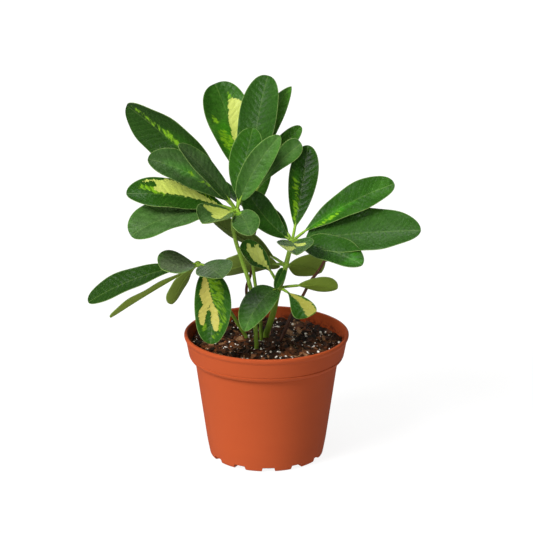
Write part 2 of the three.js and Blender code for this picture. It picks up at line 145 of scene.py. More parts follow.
LEAFY_STEM = dict(
    name="leafy_stem_foliage", node="leafy_stem", stalk="green", radii=[2.1, 1.95, 1.8, 1.7, 1.55, 1.4],
    path=[(-0.3, 5, 52), (-0.3, 5, 80), (4.2, 0, 96.3), (8, -7.5, 116), (10.3, -6.4, 122),
          (12.6, -3.5, 130.6), (14.5, -4.5, 139), (16.5, -6, 147.6)],
    whorls=[
    dict(hub=(16.5, -6, 147.6), facing=(280, 50), knob=2.3, leaflets=[
        (64, 68, 63, 19.5, dict(facing=(265, 20), droop=-10, shade=-0.7, bloom=-0.35,
            lime=[[(0, 10), (15, 5), (28, 2), (39, 20), (51, 26), (60, 45), (68, 75), (58, 72), (50, 64),
            (39, 50), (26, 60), (12, 70), (0, 80)]],
            bright=[[(0, 0), (50, 20), (80, 60), (40, 90), (0, 80)]])),
        (4, 29.5, 76, 22, dict(full=0.68, shade=-0.2,
            lime=[[(14, -80), (22, -45), (34, -22), (42, -22), (40, -42), (30, -58), (22, -80)]],
            bright=[[(0, -20), (40, 20), (60, -10), (30, -70)]])),
        (350, 8, 84, 34, dict(full=0.5, droop=8, shade=-0.5, bloom=0.1)),
        (326, -7, 54, 23, dict(full=0.5, shade=-0.5, bloom=-0.2,
            bright=[[(76, -95), (74, 70), (98, 60), (99, -50)]])),
        (274, 4, 38, 26, dict(cup=25, facing=(270, 65), bloom=0.35, shade=-0.1,
            cream=[[(45, -5), (60, -50), (75, -95), (90, -90), (90, -55), (75, -20), (60, 0)], [(10, 10),
            (31, 24), (46, 62), (60, 55), (50, 10), (30, 0)]])),
        (171, 48, 43.5, 18.5, dict(facing=(262, 25), full=0.66, blunt=0.42, stalk=3, droop=-30,
            shade=-0.6, bloom=-0.2)),
        (150, 48, 26, 7, dict(stalk=5, shade=-0.3)),
    ]),
    dict(hub=(12.6, -3.5, 130.6), facing=(90, 80), knob=2.5, leaflets=[
        (167, 29, 56, 20, dict(roll=42, droop=4, shade=-1.2)),
        (128, -19, 78, 19, dict(facing=(50, 38), full=0.44, shade=-0.4)),
        (236, -45, 18, 7, dict(stalk=3, full=0.4, facing=(300, 30), shade=-0.3)),
        (40, -20, 33, 23, dict(facing=(114, 30), stalk=2)),
    ]),
    dict(hub=(8, -7.5, 116.5), facing=(270, 60), knob=2.7, leaflets=[
        (238, -23, 47, 21, dict(full=0.48, blunt=0.62, droop=60, stalk=4, shade=-0.1, bloom=0.25)),
        (302, -18, 36, 17, dict(droop=50, full=0.85, blunt=0.25, shade=-0.4, ripe=1.8,
            cream=[[(2, 10), (15, 50), (35, 78), (50, 84), (60, 76), (70, 98), (97, 110), (99, 20), (85, 8),
            (54, 10), (30, 5)]])),
        (8, -3, 39, 14, dict(facing=(95, 28), stalk=12)),
        (213, 47, 45, 16.5, dict(facing=(255, 40), droop=46, stalk=13, full=0.72, shade=-0.4, ripe=-0.25,
            cream=[[(0, -20), (19, -30), (40, -60), (53, -80), (66, -93), (70, -75), (66, -50), (74, -43),
            (80, -70), (87, -57), (84, -30), (81, -7), (76, 10), (71, 30), (62, 40), (57, 55), (40, 50),
            (27, 45), (10, 30)]])),
    ])])

RIGHT_REAR = dict(
    name="right_rear_foliage", node="frond_right_rear", stalk="ripe", radii=[1.1, 1.05, 1, 0.95],
    path=[(9.1, -4.7, 52), (9.1, -4.7, 79), (13.1, -4, 89), (16.7, -3, 97.4), (24, -1, 109.6),
          (28.5, 1, 118), (34, 2.5, 125), (38.5, 3, 133)],
    whorls=[
    dict(hub=(38.5, 3, 133), facing=(90, 80), knob=2.3, leaflets=[
        (20, 25, 48, 22, {}),
        (62, 34, 50, 20, {}),
        (0, 32, 40, 16, {}),
        (338, 22, 36, 16, {}),
    ])])

REAR = dict(
    name="rear_foliage", node="frond_rear", stalk="ripe", radii=[1.05, 1, 0.95, 0.95],
    path=[(-7, 11, 52), (-7, 11, 80), (-11.5, 12, 97), (-13.2, 13, 109), (-10.5, 13.9, 118.5),
          (-9.2, 14.5, 126), (-9, 19, 138), (-6, 36, 149)],
    whorls=[
    dict(hub=(-6, 36, 149), facing=(90, 80), knob=2.3, leaflets=[
        (90, 60, 50, 20, {}),
        (150, 30, 45, 20, dict(shade=-0.8)),
        (115, 12, 44.8, 20, {}),
        (192, 8, 40, 19, dict(shade=-1.2)),
        (80, -6, 32, 17, {}),
    ])])

FRONDS = (TALL_LEFT, TOP, LOW_LEFT, LEAFY_STEM, RIGHT_REAR, REAR)
FIRST_SEED = 100

# Blade mesh, in millimetres; an ease is a power that draws stations or columns together
BLADE_STATIONS = 46
BLADE_COLUMNS = 17
STATION_EASE = 1.6
COLUMN_EASE = 1.2
CUP_EASE = 1.75
PHASE_SPAN = 6.28
INTEGRATION_STEPS = 48
BASE_HALF_WIDTH = 0.8
TIP_HALF_WIDTH = 0.12
RIM_WIDTH = 0.35
RIM_HALF_THICKNESS = 0.22  # share of the blade's thickness
INNER_SHARE = (0.5, 0.985)  # least and most share of the half width inside the rim
GROOVE_DEPTH = 0.13
GROOVE_WIDTH = 0.75
FULL_WAVE_WIDTH = 24
KEEL_DEPTH = 0.4
MIDRIB_DEPTH = 0.5
MIDRIB_TAPER = 0.8
STALK_BLEND = 0.035  # share of the blade over which the stalk thins to the rib
BARE_RINGS = 4
STALK_RADIUS = 0.95
STALK_RINGS = 8
RIB_SHARES = np.concatenate([np.linspace(0, 0.12, 8), np.linspace(0.16, 0.93, 14)])
STALK_SIDES = 12
STEM_SIDES = 20
STEM_RINGS = 60
KNOB_RIPPLES = 5
KNOB_RIPPLE = 0.06  # share of the knob's radius, as the next two are
KNOB_SIZE = 0.97
KNOB_HEIGHT = 0.96
NO_MARK = -60.0
ROUND_EDGE = 5.0
UPPER, UNDER, STALK = range(3)

# Pot outline: radius, height and the radius of the rounding at each corner, in millimetres, along
# the outside from the middle of the underside and back down the inside to the middle of the floor
POT_PROFILE = [
    (0, 0, 0), (36.2, 0, 0), (37.4, 0.6, 0.8), (38, 3.6, 2), (39.3, 10.4, 8), (47.1, 66.4, 0.5),
    (49.6, 66.9, 0.7), (50.3, 67.9, 0.8), (50.9, 69.3, 0.1), (50.5, 69.75, 0.1), (51.1, 70.25, 0.1),
    (52.85, 79.7, 1.2), (53.55, 80.6, 1.0), (54, 81.8, 0.6), (53.9, 83.1, 0.5), (53.3, 83.5, 0.3),
    (52.2, 83.5, 0.3), (51.8, 82.9, 0.5), (51.6, 79.8, 2), (49.8, 70.6, 1), (49.1, 68.8, 0.5),
    (48.4, 68.2, 0.5), (46.2, 67.7, 0.5), (45.7, 66.7, 0.6), (38.1, 10.4, 4), (36.7, 3.6, 1),
    (36.2, 1.6, 0.5), (0, 1.6, 0),
]

# Turning, welding and cutting of the pot, in millimetres; the taper is a slot's narrowing per metre
# of height, and the sharp angle is in degrees
TURNING_RADIUS = 1
WELD = 0.005
CUT_RADIUS = 35
CUT_DEPTH = 8
SLOT_TAPER = -52.0
SHARP_ANGLE = 38

# Potting mix, in millimetres. Its wall is (radius, height) from the pot's floor up; its top is heaped
# round the stems, has a dip at the right rear and fades towards the edge, and its crumbs are (height,
# layer of the noise, size). The spread of the dip is in square millimetres.
MIX_WALL = [(35.8, 1.9), (37.8, 10.4), (45.4, 66.8), (45.9, 68), (48.1, 68.5), (49.4, 70.8)]
MIX_LEVEL = 75.6
MIX_EDGE_RADIUS = 50.4
MIX_SIDES = 288
MIX_RINGS = 62
HEAP_HEIGHT = 1.6
HEAP_WIDTH = 22
DIP_DEPTH = 1.5
DIP_PLACE = (26, 22)
DIP_SPREAD = 300
EDGE_FADE = 4
EDGE_SHARE = 0.35
CRUMBS = ((0.75, 3.0, 3.0), (0.55, 9.0, 1.3))

# Kinds of node that come up again and again, some of them with their operation
MATH = "ShaderNodeMath"
TIMES = (MATH, "MULTIPLY")
PLUS = (MATH, "ADD")
TIMES_PLUS = (MATH, "MULTIPLY_ADD")
VECTOR = "ShaderNodeVectorMath"
RANGE = "ShaderNodeMapRange"
NOISE = "ShaderNodeTexNoise"
SPLIT = "ShaderNodeSeparateXYZ"
JOIN = "ShaderNodeCombineXYZ"
ATTRIBUTE = "ShaderNodeAttribute"
PLACE = "ShaderNodeTexCoord"
DRAW = "FunctionNodeRandomValue"
SMOOTH = "SMOOTHSTEP"


def linear(code):
    """An sRGB hex colour as linear red, green, blue and alpha."""
    parts = [int(code[i:i + 2], 16) / 255 for i in (1, 3, 5)]
    return tuple(c / 12.92 if c <= 0.04045 else ((c + 0.055) / 1.055) ** 2.4 for c in parts) + (1.0,)


def colour_setting(name, description, code):
    return bpy.props.FloatVectorProperty(
        name=name, description=description, subtype="COLOR", size=4, min=0.0, max=1.0, default=linear(code))


def length_setting(name, description, millimetres):
    return bpy.props.FloatProperty(
        name=name, description=description, subtype="DISTANCE", unit="LENGTH", min=0.0,
        default=millimetres * MM, precision=5)


def count_setting(name, description, count, least, most):
    return bpy.props.IntProperty(name=name, description=description, default=count, min=least, max=most)


class UMBRELLA_PG_foliage(bpy.types.PropertyGroup):
    blade_thickness: length_setting("Blade thickness", "Thickness of a leaflet's blade", 0.5)
    margin_wave: length_setting("Margin wave", "How far the margin of a blade waves up and down", 0.7)
    wave_pitch: length_setting("Wave pitch", "Length of one wave along the margin", 27.0)
    vein_pitch: length_setting("Vein pitch", "Distance between two side veins", 4.2)
    green: colour_setting("Green", "Upper face of a blade", "#264d12")
    light_green: colour_setting("Light green", "Lighter parts of the upper face", "#467a25")
    lime: colour_setting("Lime", "Yellow-green marks", "#74a31c")
    cream: colour_setting("Cream", "Cream marks without green tissue", "#b9c167")
    underside: colour_setting("Underside", "Under face of a blade", "#637725")
    stalk: colour_setting("Stalk", "Green leaf stalks and the stem", "#6a8d24")
    ripe_stalk: colour_setting("Ripe stalk", "Older, reddish leaf stalks", "#43211a")


class UMBRELLA_PG_pot(bpy.types.PropertyGroup):
    sides: count_setting("Sides", "Sides round the turned wall", 192, 48, 360)
    slots: count_setting("Drain slots", "Drain slots round the foot", 12, 3, 24)
    slot_width: length_setting("Slot width", "Width of a drain slot at the underside", 8.9)
    slot_height: length_setting("Slot height", "Height of a drain slot", 3.0)
    slot_start: bpy.props.FloatProperty(
        name="First slot", description="Turn of the first slot from the front", subtype="ANGLE",
        default=math.radians(2.0))
    plastic: colour_setting("Plastic", "Colour of the moulded wall", "#9c4322")


class UMBRELLA_PG_mix(bpy.types.PropertyGroup):
    chips: count_setting("Bark chips", "How many bark chips lie on the mix", 1500, 0, 3000)
    chip_length: length_setting("Chip length", "Length of the longest bark chips", 7.0)
    grains: count_setting("Perlite grains", "How many perlite grains lie on the mix", 400, 0, 600)
    grain_size: length_setting("Grain size", "Diameter of the largest perlite grains", 2.5)
    fibres: count_setting("Fibres", "How many coir fibres lie on the mix", 160, 0, 600)
    fibre_length: length_setting("Fibre length", "Length of the longest fibres", 11.0)
    seed: bpy.props.IntProperty(name="Seed", description="Draw of places, turns and sizes", default=7, min=0)
    humus: colour_setting("Humus", "Damp fines between the chips", "#1a0f08")
    bark: colour_setting("Bark", "Most of the chips", "#663b23")
    dry_bark: colour_setting("Dry bark", "The few dry chips", "#a67c58")
    perlite: colour_setting("Perlite", "Expanded perlite grains", "#f4eee4")


class UMBRELLA_PG_plant(bpy.types.PropertyGroup):
    foliage: bpy.props.PointerProperty(type=UMBRELLA_PG_foliage)
    pot: bpy.props.PointerProperty(type=UMBRELLA_PG_pot)
    mix: bpy.props.PointerProperty(type=UMBRELLA_PG_mix)


# Nodes and meshes

def add_node(tree, kind, inputs=(), out=0, **settings):
    """Adds a node and gives one of its outputs. The kind may come with an operation. An input, by its name
    or in order, is a value or the output that is linked to it."""
    if isinstance(kind, tuple):
        kind, settings["operation"] = kind
    node = tree.nodes.new(kind)
    for name, value in settings.items():
        setattr(node, name, value)
    for key, value in inputs.items() if isinstance(inputs, dict) else enumerate(inputs):
        if isinstance(value, bpy.types.NodeSocket):
            tree.links.new(value, node.inputs[key])
        else:
            node.inputs[key].default_value = value
    return node.outputs[out] if len(node.outputs) else None


def cleared(holder):
    """Empties the node tree of a material or a world, and gives what adds nodes to it."""
    holder.use_nodes = True
    holder.node_tree.nodes.clear()
    return partial(add_node, holder.node_tree)


def new_material(name):
    material = bpy.data.materials.new(name)
    return material, cleared(material)


def layered(add, colour, *layers):
    """Lays coats of colour over one another. The share of a coat is its signal, or follows it over a
    reach: a low and a high value of the signal, and the share of the coat at each."""
    for coat, signal, *reach in layers:
        if reach:
            curve = reach.pop() if reach[-1] == SMOOTH else "LINEAR"
            signal = add(RANGE, (signal, *reach), interpolation_type=curve)
        if isinstance(coat, str):
            coat = linear(coat)
        colour = add("ShaderNodeMix", {0: signal, 6: colour, 7: coat}, 2, data_type="RGBA")
    return colour


def finish_material(add, inputs, height=None, strength=0.0, depth=0.0):
    """Ends a material in its shader, over a bump whose depth is in millimetres."""
    if height is not None:
        bump = {"Height": height, "Strength": strength, "Distance": depth * MM}
        inputs["Normal"] = add("ShaderNodeBump", bump)
    add("ShaderNodeOutputMaterial", {"Surface": add("ShaderNodeBsdfPrincipled", inputs)})


def linked(name, data):
    """An object with this mesh, light or lens, linked into the scene."""
    result = bpy.data.objects.new(name, data)
    bpy.context.scene.collection.objects.link(result)
    return result


def mesh_object(name, vertices, faces, smooth=True):
    """A mesh object from millimetre coordinates."""
    mesh = bpy.data.meshes.new(name)
    mesh.from_pydata((np.asarray(vertices, float) * MM).tolist(), [], [tuple(f) for f in faces])
    mesh.validate()
    mesh.polygons.foreach_set("use_smooth", [smooth] * len(mesh.polygons))
    return linked(name, mesh)


def frozen(source, name):
    """The evaluated mesh of an object as a new plain object; the source goes."""
    evaluated = source.evaluated_get(bpy.context.evaluated_depsgraph_get())
    mesh = bpy.data.meshes.new_from_object(evaluated)
    mesh.name = name
    bpy.data.objects.remove(source)
    return linked(name, mesh)


def node_modifier(target, tree, values):
    """Adds a geometry nodes modifier and sets its named inputs by their identifiers."""
    modifier = target.modifiers.new(tree.name, "NODES")
    modifier.node_group = tree
    for item in tree.interface.items_tree:
        if item.item_type == "SOCKET" and item.in_out == "INPUT" and item.name in values:
            modifier[item.identifier] = values[item.name]


def geometry_tree(name, sockets):
    """An empty geometry node tree with named inputs, what adds nodes to it, and those inputs."""
    tree = bpy.data.node_groups.new(name, "GeometryNodeTree")
    tree.interface.new_socket("Geometry", in_out="OUTPUT", socket_type="NodeSocketGeometry")
    for socket, kind in [("Geometry", "Geometry"), *sockets]:
        tree.interface.new_socket(socket, in_out="INPUT", socket_type="NodeSocket" + kind)
    add = partial(add_node, tree)
    return tree, add, add("NodeGroupInput").node.outputs


def finish_tree(add, geometry, material):
    """Ends a geometry node tree in real geometry with its material."""
    whole = add("GeometryNodeRealizeInstances", (geometry,))
    dressed = add("GeometryNodeSetMaterial", {"Geometry": whole, "Material": material})
    add("NodeGroupOutput", {"Geometry": dressed})


def seat(piece, slot, *nodes):
    """Ties a finished piece to the frame's root body and hides the solids that it stands for. The slot, its
    finish, is not used.
    """
    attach(piece, "root")
    if nodes:
        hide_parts(*nodes)


# Blades and stems

def heading(azimuth, elevation):
    a, e = np.radians(azimuth), np.radians(elevation)
    return np.stack([np.cos(a) * np.cos(e), np.sin(a) * np.cos(e), np.sin(e) + 0 * a], axis=-1)


def unit(rows):
    return rows / np.linalg.norm(rows, axis=-1, keepdims=True)


def half_width(leaf, u):
    """Half the width of a blade at a share of its length."""
    a = leaf.full / (1 - leaf.full) * leaf.blunt
    b = leaf.blunt
    top = leaf.full ** a * (1 - leaf.full) ** b
    return leaf.width / 2 * u ** a * (1 - u) ** b / top


def midrib(leaf, shares):
    """Centre, side and face normal at shares of a leaflet's whole length."""
    def direction(s):
        return heading(leaf.azimuth + leaf.sweep * (s - 0.5), leaf.elevation + leaf.droop * (0.5 - s))
    middles = (np.arange(INTEGRATION_STEPS) + 0.5) / INTEGRATION_STEPS
    steps = direction(middles) * leaf.length / INTEGRATION_STEPS
    centres = np.vstack([np.zeros(3), np.cumsum(steps, axis=0)]) + np.array(leaf.hub, float)
    way = np.linspace(0, 1, INTEGRATION_STEPS + 1)
    centre = np.stack([np.interp(shares, way, centres[:, k]) for k in range(3)], axis=-1)
    along = direction(shares)
    face = heading(*leaf.facing)
    normal = unit(face - along * (along @ face)[:, None])
    side = np.cross(normal, along)
    roll = np.radians(leaf.roll + leaf.twist * (shares - 0.5))[:, None]
    return centre, side * np.cos(roll) + normal * np.sin(roll), normal * np.cos(roll) - side * np.sin(roll)


def signed_distance(x, y, outline):
    """Distance in millimetres to a closed outline, positive inside it."""
    points = np.stack([x.ravel(), y.ravel()], axis=-1)
    nearest = np.full(len(points), 1e9)
    inside = np.zeros(len(points), bool)
    for (ax, ay), (bx, by) in zip(outline, np.roll(outline, -1, axis=0)):
        edge = np.array([bx - ax, by - ay])
        offset = points - (ax, ay)
        share = np.clip(offset @ edge / max(edge @ edge, 1e-9), 0, 1)
        nearest = np.minimum(nearest, np.linalg.norm(offset - share[:, None] * edge, axis=1))
        crosses = (ay > points[:, 1]) != (by > points[:, 1])
        with np.errstate(divide="ignore", invalid="ignore"):
            reach = (bx - ax) * (points[:, 1] - ay) / (by - ay) + ax
        inside ^= crosses & (points[:, 0] < reach)
    return np.where(inside, nearest, -nearest).reshape(x.shape)


def mark_field(outlines, leaf, u, across, blade_length):
    """How deep each point lies in any of the marks, in millimetres, negative outside them."""
    field = np.full(u.shape, NO_MARK)
    for outline in outlines:
        corners = [(x * blade_length, half * max(BASE_HALF_WIDTH, half_width(leaf, min(max(x, 0.0), 0.999))))
                   for x, half in np.array(outline) / 100]
        field = np.maximum(field, signed_distance(u * blade_length, across, np.array(corners)))
    return field


def ring_faces(rings, sides, closed=True):
    """Faces between rings of points, with one over each end where the form is closed."""
    faces = []
    for i in range(rings - 1):
        for k in range(sides):
            after = (k + 1) % sides
            faces.append((i * sides + k, i * sides + after, (i + 1) * sides + after, (i + 1) * sides + k))
    if closed:
        last = (rings - 1) * sides
        faces += [tuple(reversed(range(sides))), tuple(range(last, last + sides))]
    return faces


def rings_round(centres, side, front, radii, sides):
    """Rings of points round a line of centres."""
    turns = 2 * math.pi * np.arange(sides) / sides
    ring = side[:, None, :] * np.cos(turns)[None, :, None] + front[:, None, :] * np.sin(turns)[None, :, None]
    return centres[:, None, :] + ring * radii[:, None, None]


def round_place(way, sides):
    """What a round part carries as its place: the way along it, and an edge far off."""
    return np.repeat(np.stack([way, way * 0, way * 0 + ROUND_EDGE], axis=-1), sides, axis=0)


class PlantMesh:
    """Collects the parts of one grown piece, with what its materials read."""

    def __init__(self):
        self.vertices, self.faces, self.skins, self.ripe = [], [], [], []
        self.rows = {"leaf_place": [], "leaf_marks": [], "leaf_tint": []}

    def add(self, vertices, faces, skins, place, tint, marks=None, ripe=0.0):
        first, total = len(self.vertices), len(vertices)
        marks = np.full((total, 3), NO_MARK) if marks is None else marks
        self.vertices.extend(vertices)
        self.faces.extend(tuple(first + k for k in face) for face in faces)
        self.skins.extend(skins)
        for rows, more in zip(self.rows.values(), (place, marks, np.tile(tint, (total, 1)))):
            rows.extend(more)
        self.ripe.extend([ripe] * total)

    def build(self, name, materials):
        piece = mesh_object(name, self.vertices, self.faces)
        mesh = piece.data
        for material in materials:
            mesh.materials.append(material)
        mesh.polygons.foreach_set("material_index", self.skins)
        for attribute, rows in self.rows.items():
            layer = mesh.attributes.new(attribute, "FLOAT_VECTOR", "POINT")
            layer.data.foreach_set("vector", np.asarray(rows, np.float32).ravel())
        mesh.attributes.new("leaf_ripe", "FLOAT", "POINT").data.foreach_set("value", self.ripe)
        return piece


def blade_faces(rows, columns):
    """Faces of the upper skin, the under skin and the rim between them, and the skin that each wears."""
    top = np.arange(rows * columns).reshape(rows, columns)
    low = top + rows * columns
    upper = np.stack([top[:-1, :-1], top[1:, :-1], top[1:, 1:], top[:-1, 1:]], axis=-1).reshape(-1, 4)
    under = np.stack([low[:-1, :-1], low[:-1, 1:], low[1:, 1:], low[1:, :-1]], axis=-1).reshape(-1, 4)
    rim = []
    for i in range(rows - 1):
        rim += [(top[i, -1], top[i + 1, -1], low[i + 1, -1], low[i, -1]),
                (top[i + 1, 0], top[i, 0], low[i, 0], low[i + 1, 0])]
    for j in range(columns - 1):
        rim += [(top[0, j], top[0, j + 1], low[0, j + 1], low[0, j]),
                (top[-1, j + 1], top[-1, j], low[-1, j], low[-1, j + 1])]
    faces = np.concatenate([upper, under, rim]).tolist()
    return faces, [UPPER] * len(upper) + [UNDER] * len(under) + [UPPER] * len(rim)


def add_blade(body, leaf, sizes, draw):
    """The blade: two skins, cupped, with a waving margin and a groove over the midrib."""
    start = leaf.stalk / leaf.length
    blade_length = leaf.length - leaf.stalk
    thickness = sizes.blade_thickness / MM
    u = 1 - (1 - np.arange(BLADE_STATIONS + 1) / BLADE_STATIONS) ** STATION_EASE
    centre, side, normal = midrib(leaf, start + (1 - start) * u)
    w = half_width(leaf, np.minimum(u, 0.9999))
    w = np.where(u < 0.5, np.maximum(w, BASE_HALF_WIDTH), np.maximum(w, TIP_HALF_WIDTH))

    # columns lie close together at the midrib and wider over the two halves
    inner = np.linspace(-1, 1, BLADE_COLUMNS)
    inner = np.sign(inner) * np.abs(inner) ** COLUMN_EASE
    margin = np.ones((len(u), 1))
    v = np.concatenate([-margin, inner * np.clip(1 - RIM_WIDTH / w, *INNER_SHARE)[:, None], margin], axis=1)
    across = v * w[:, None]
    way = (u * blade_length)[:, None]
    phase = np.where(v > 0, draw.uniform(0, PHASE_SPAN), draw.uniform(0, PHASE_SPAN))
    wave = sizes.margin_wave / MM * min(1.0, leaf.width / FULL_WAVE_WIDTH)
    wave = wave * np.sin(2 * math.pi * way / (sizes.wave_pitch / MM) + phase)
    wave = wave * np.abs(v) ** 3 * np.sin(math.pi * np.clip(u, 0, 1))[:, None] ** 0.5
    groove = GROOVE_DEPTH * np.exp(-(across / GROOVE_WIDTH) ** 2)
    cup = math.radians(leaf.cup)
    rise = w[:, None] * math.sin(cup) * np.abs(v) ** CUP_EASE + wave
    half = np.where(np.abs(v) > 0.999, thickness * RIM_HALF_THICKNESS, thickness / 2)
    flat = centre[:, None, :] + side[:, None, :] * (across * math.cos(cup))[..., None]
    upper = flat + normal[:, None, :] * (rise + half - groove)[..., None]
    under = flat + normal[:, None, :] * (rise - half)[..., None]

    spread = np.broadcast_to(u[:, None], v.shape)
    marks = np.stack([mark_field(outlines, leaf, spread, across, blade_length)
                      for outlines in (leaf.cream, leaf.lime, leaf.bright)], axis=-1)
    place = np.stack([np.broadcast_to(way, v.shape), across, w[:, None] - np.abs(across)], axis=-1)
    upper, under, marks, place = (rows.reshape(-1, 3) for rows in (upper, under, marks, place))
    body.add(np.concatenate([upper, under]), *blade_faces(*v.shape), np.concatenate([place, place]),
             (leaf.shade, leaf.bloom, leaf.seed), np.concatenate([marks, marks]), leaf.ripe)


def add_stalk(body, leaf):
    """The stalk, running on as the rib under the blade."""
    start = leaf.stalk / leaf.length
    free = np.linspace(0, start, STALK_RINGS)[:-1]
    shares = np.concatenate([free, start + (1 - start) * RIB_SHARES])
    centre, side, normal = midrib(leaf, shares)
    rib = np.concatenate([np.zeros(len(free)), RIB_SHARES])
    keel = KEEL_DEPTH + MIDRIB_DEPTH * (1 - MIDRIB_TAPER * rib)
    blend = np.exp(-rib / STALK_BLEND)
    radius = keel / 2 * (1 - blend) + STALK_RADIUS * blend
    drop = (radius - keel) * (1 - blend)
    # rings turned so that the skin faces outwards
    rings = rings_round(centre + normal * drop[:, None], side, normal, radius, STALK_SIDES)[:, ::-1, :]
    faces = ring_faces(len(shares), STALK_SIDES)
    bare = (len(free) + BARE_RINGS) * STALK_SIDES
    body.add(rings.reshape(-1, 3), faces, [STALK] * bare + [UNDER] * (len(faces) - bare),
             round_place(shares * leaf.length, STALK_SIDES), (leaf.shade, 0.0, leaf.seed))


def add_leaflet(body, whorl, row, sizes, draw):
    azimuth, elevation, length, width, options = row
    leaf = SimpleNamespace(**{
        **LEAFLET, "facing": whorl["facing"], "hub": whorl["hub"], "azimuth": azimuth,
        "elevation": elevation, "length": length, "width": width, "seed": draw.random(), **options})
    add_blade(body, leaf, sizes, draw)
    add_stalk(body, leaf)


def curve_points(points, shares):
    """Points of a smooth curve through some points, at shares of its way, each span counting the same."""
    p = np.array(points, float)
    p = np.vstack([2 * p[0] - p[1], p, 2 * p[-1] - p[-2]])
    spans = len(points) - 1
    result = []
    for share in shares:
        x = min(share * spans, spans - 1e-9)
        i = int(x)
        t = x - i
        p0, p1, p2, p3 = p[i:i + 4]
        d0, d1, d2 = (max(np.linalg.norm(b - a) ** 0.5, 1e-4) for a, b in ((p0, p1), (p1, p2), (p2, p3)))
        m1 = ((p1 - p0) / d0 - (p2 - p0) / (d0 + d1) + (p2 - p1) / d1) * d1
        m2 = ((p2 - p1) / d1 - (p3 - p1) / (d1 + d2) + (p3 - p2) / d2) * d1
        result.append(p1 + m1 * t + (3 * (p2 - p1) - 2 * m1 - m2) * t ** 2
                      + (2 * (p1 - p2) + m1 + m2) * t ** 3)
    return np.array(result)


def add_stem(body, path, radii, draw):
    """A rooted stem: a straight foot, then a smooth curve to the hub."""
    shares = np.linspace(0, 1, STEM_RINGS)
    centres = np.vstack([np.array(path[0], float), curve_points(path[1:], shares)])
    along = unit(np.gradient(centres, axis=0))
    along[0] = (0, 0, 1)
    radius = np.interp(np.concatenate([[0], shares]), np.linspace(0, 1, len(radii)), radii)
    side = unit(np.cross((0, 1, 0), along))
    rings = rings_round(centres, side, np.cross(along, side), radius, STEM_SIDES)
    faces = ring_faces(len(centres), STEM_SIDES)
    way = np.concatenate([[0], np.cumsum(np.linalg.norm(np.diff(centres, axis=0), axis=1))])
    body.add(rings.reshape(-1, 3), faces, [STALK] * len(faces), round_place(way, STEM_SIDES),
             (0.0, 0.0, draw.random()))


def add_knob(body, hub, radius, draw):
    """The small knob where the leaflet stalks of a whorl meet."""
    form = bmesh.new()
    bmesh.ops.create_icosphere(form, subdivisions=3, radius=radius)
    vertices = np.array([v.co for v in form.verts])
    faces = [tuple(v.index for v in f.verts) for f in form.faces]
    form.free()
    turn = np.arctan2(vertices[:, 1], vertices[:, 0])
    ripple = 1 + KNOB_RIPPLE * np.sin(KNOB_RIPPLES * turn + 1.0)
    stretch = np.stack([ripple, ripple, ripple * 0 + KNOB_HEIGHT], axis=-1)
    vertices = vertices * stretch * KNOB_SIZE
    body.add(vertices + np.array(hub, float), faces, [STALK] * len(faces),
             np.tile([0.0, 0.0, ROUND_EDGE], (len(vertices), 1)), (0.4, 0.0, draw.random()))


# Materials. The scale of a noise is in cells to a millimetre, of which a metre has PER_MM times as many.

PER_MM = 1 / MM
VEIN_LEAN = -0.75
VEIN_WANDER = 5.0
SEED_SPREAD = 400.0


def leaf_signals(add, pitch):
    """What a blade carries at each point: its place, its marks of cream, lime and painted light, its
    tone with painted sheen and painted shade, and where its side veins run.
    """
    signal = SimpleNamespace()
    for attribute, names in (("leaf_place", ("along", "across", "edge")),
                             ("leaf_marks", ("cream", "lime", "bright")),
                             ("leaf_tint", ("shade", "bloom", "seed"))):
        row = add(ATTRIBUTE, out="Vector", attribute_name=attribute)
        vars(signal).update(zip(names, add(SPLIT, (row,)).node.outputs))
    signal.out = add(MATH, (signal.across,), operation="ABSOLUTE")
    signal.offset = add(TIMES, (signal.seed, SEED_SPREAD))
    signal.spot = add(JOIN, (signal.along, signal.across, signal.offset))
    wander = add(NOISE, {"Vector": signal.spot, "Scale": 0.12, "Detail": 1.0})
    lean = add(TIMES_PLUS, (signal.out, VEIN_LEAN, signal.along))
    signal.lean = add(TIMES_PLUS, (wander, VEIN_WANDER, lean))
    signal.apart = add(MATH, (signal.lean, pitch / 2), operation="PINGPONG")
    return signal


def streaks(add, signal, fine, long, shift):
    """Noise drawn out along the side veins; the two sizes are in millimetres."""
    spot = add(JOIN, (add(TIMES, (signal.lean, 1 / fine)),
                      add(TIMES, (signal.across, 1 / long)),
                      add(PLUS, (signal.offset, shift))))
    return add(NOISE, {"Vector": spot, "Scale": 1.0, "Detail": 2.0})


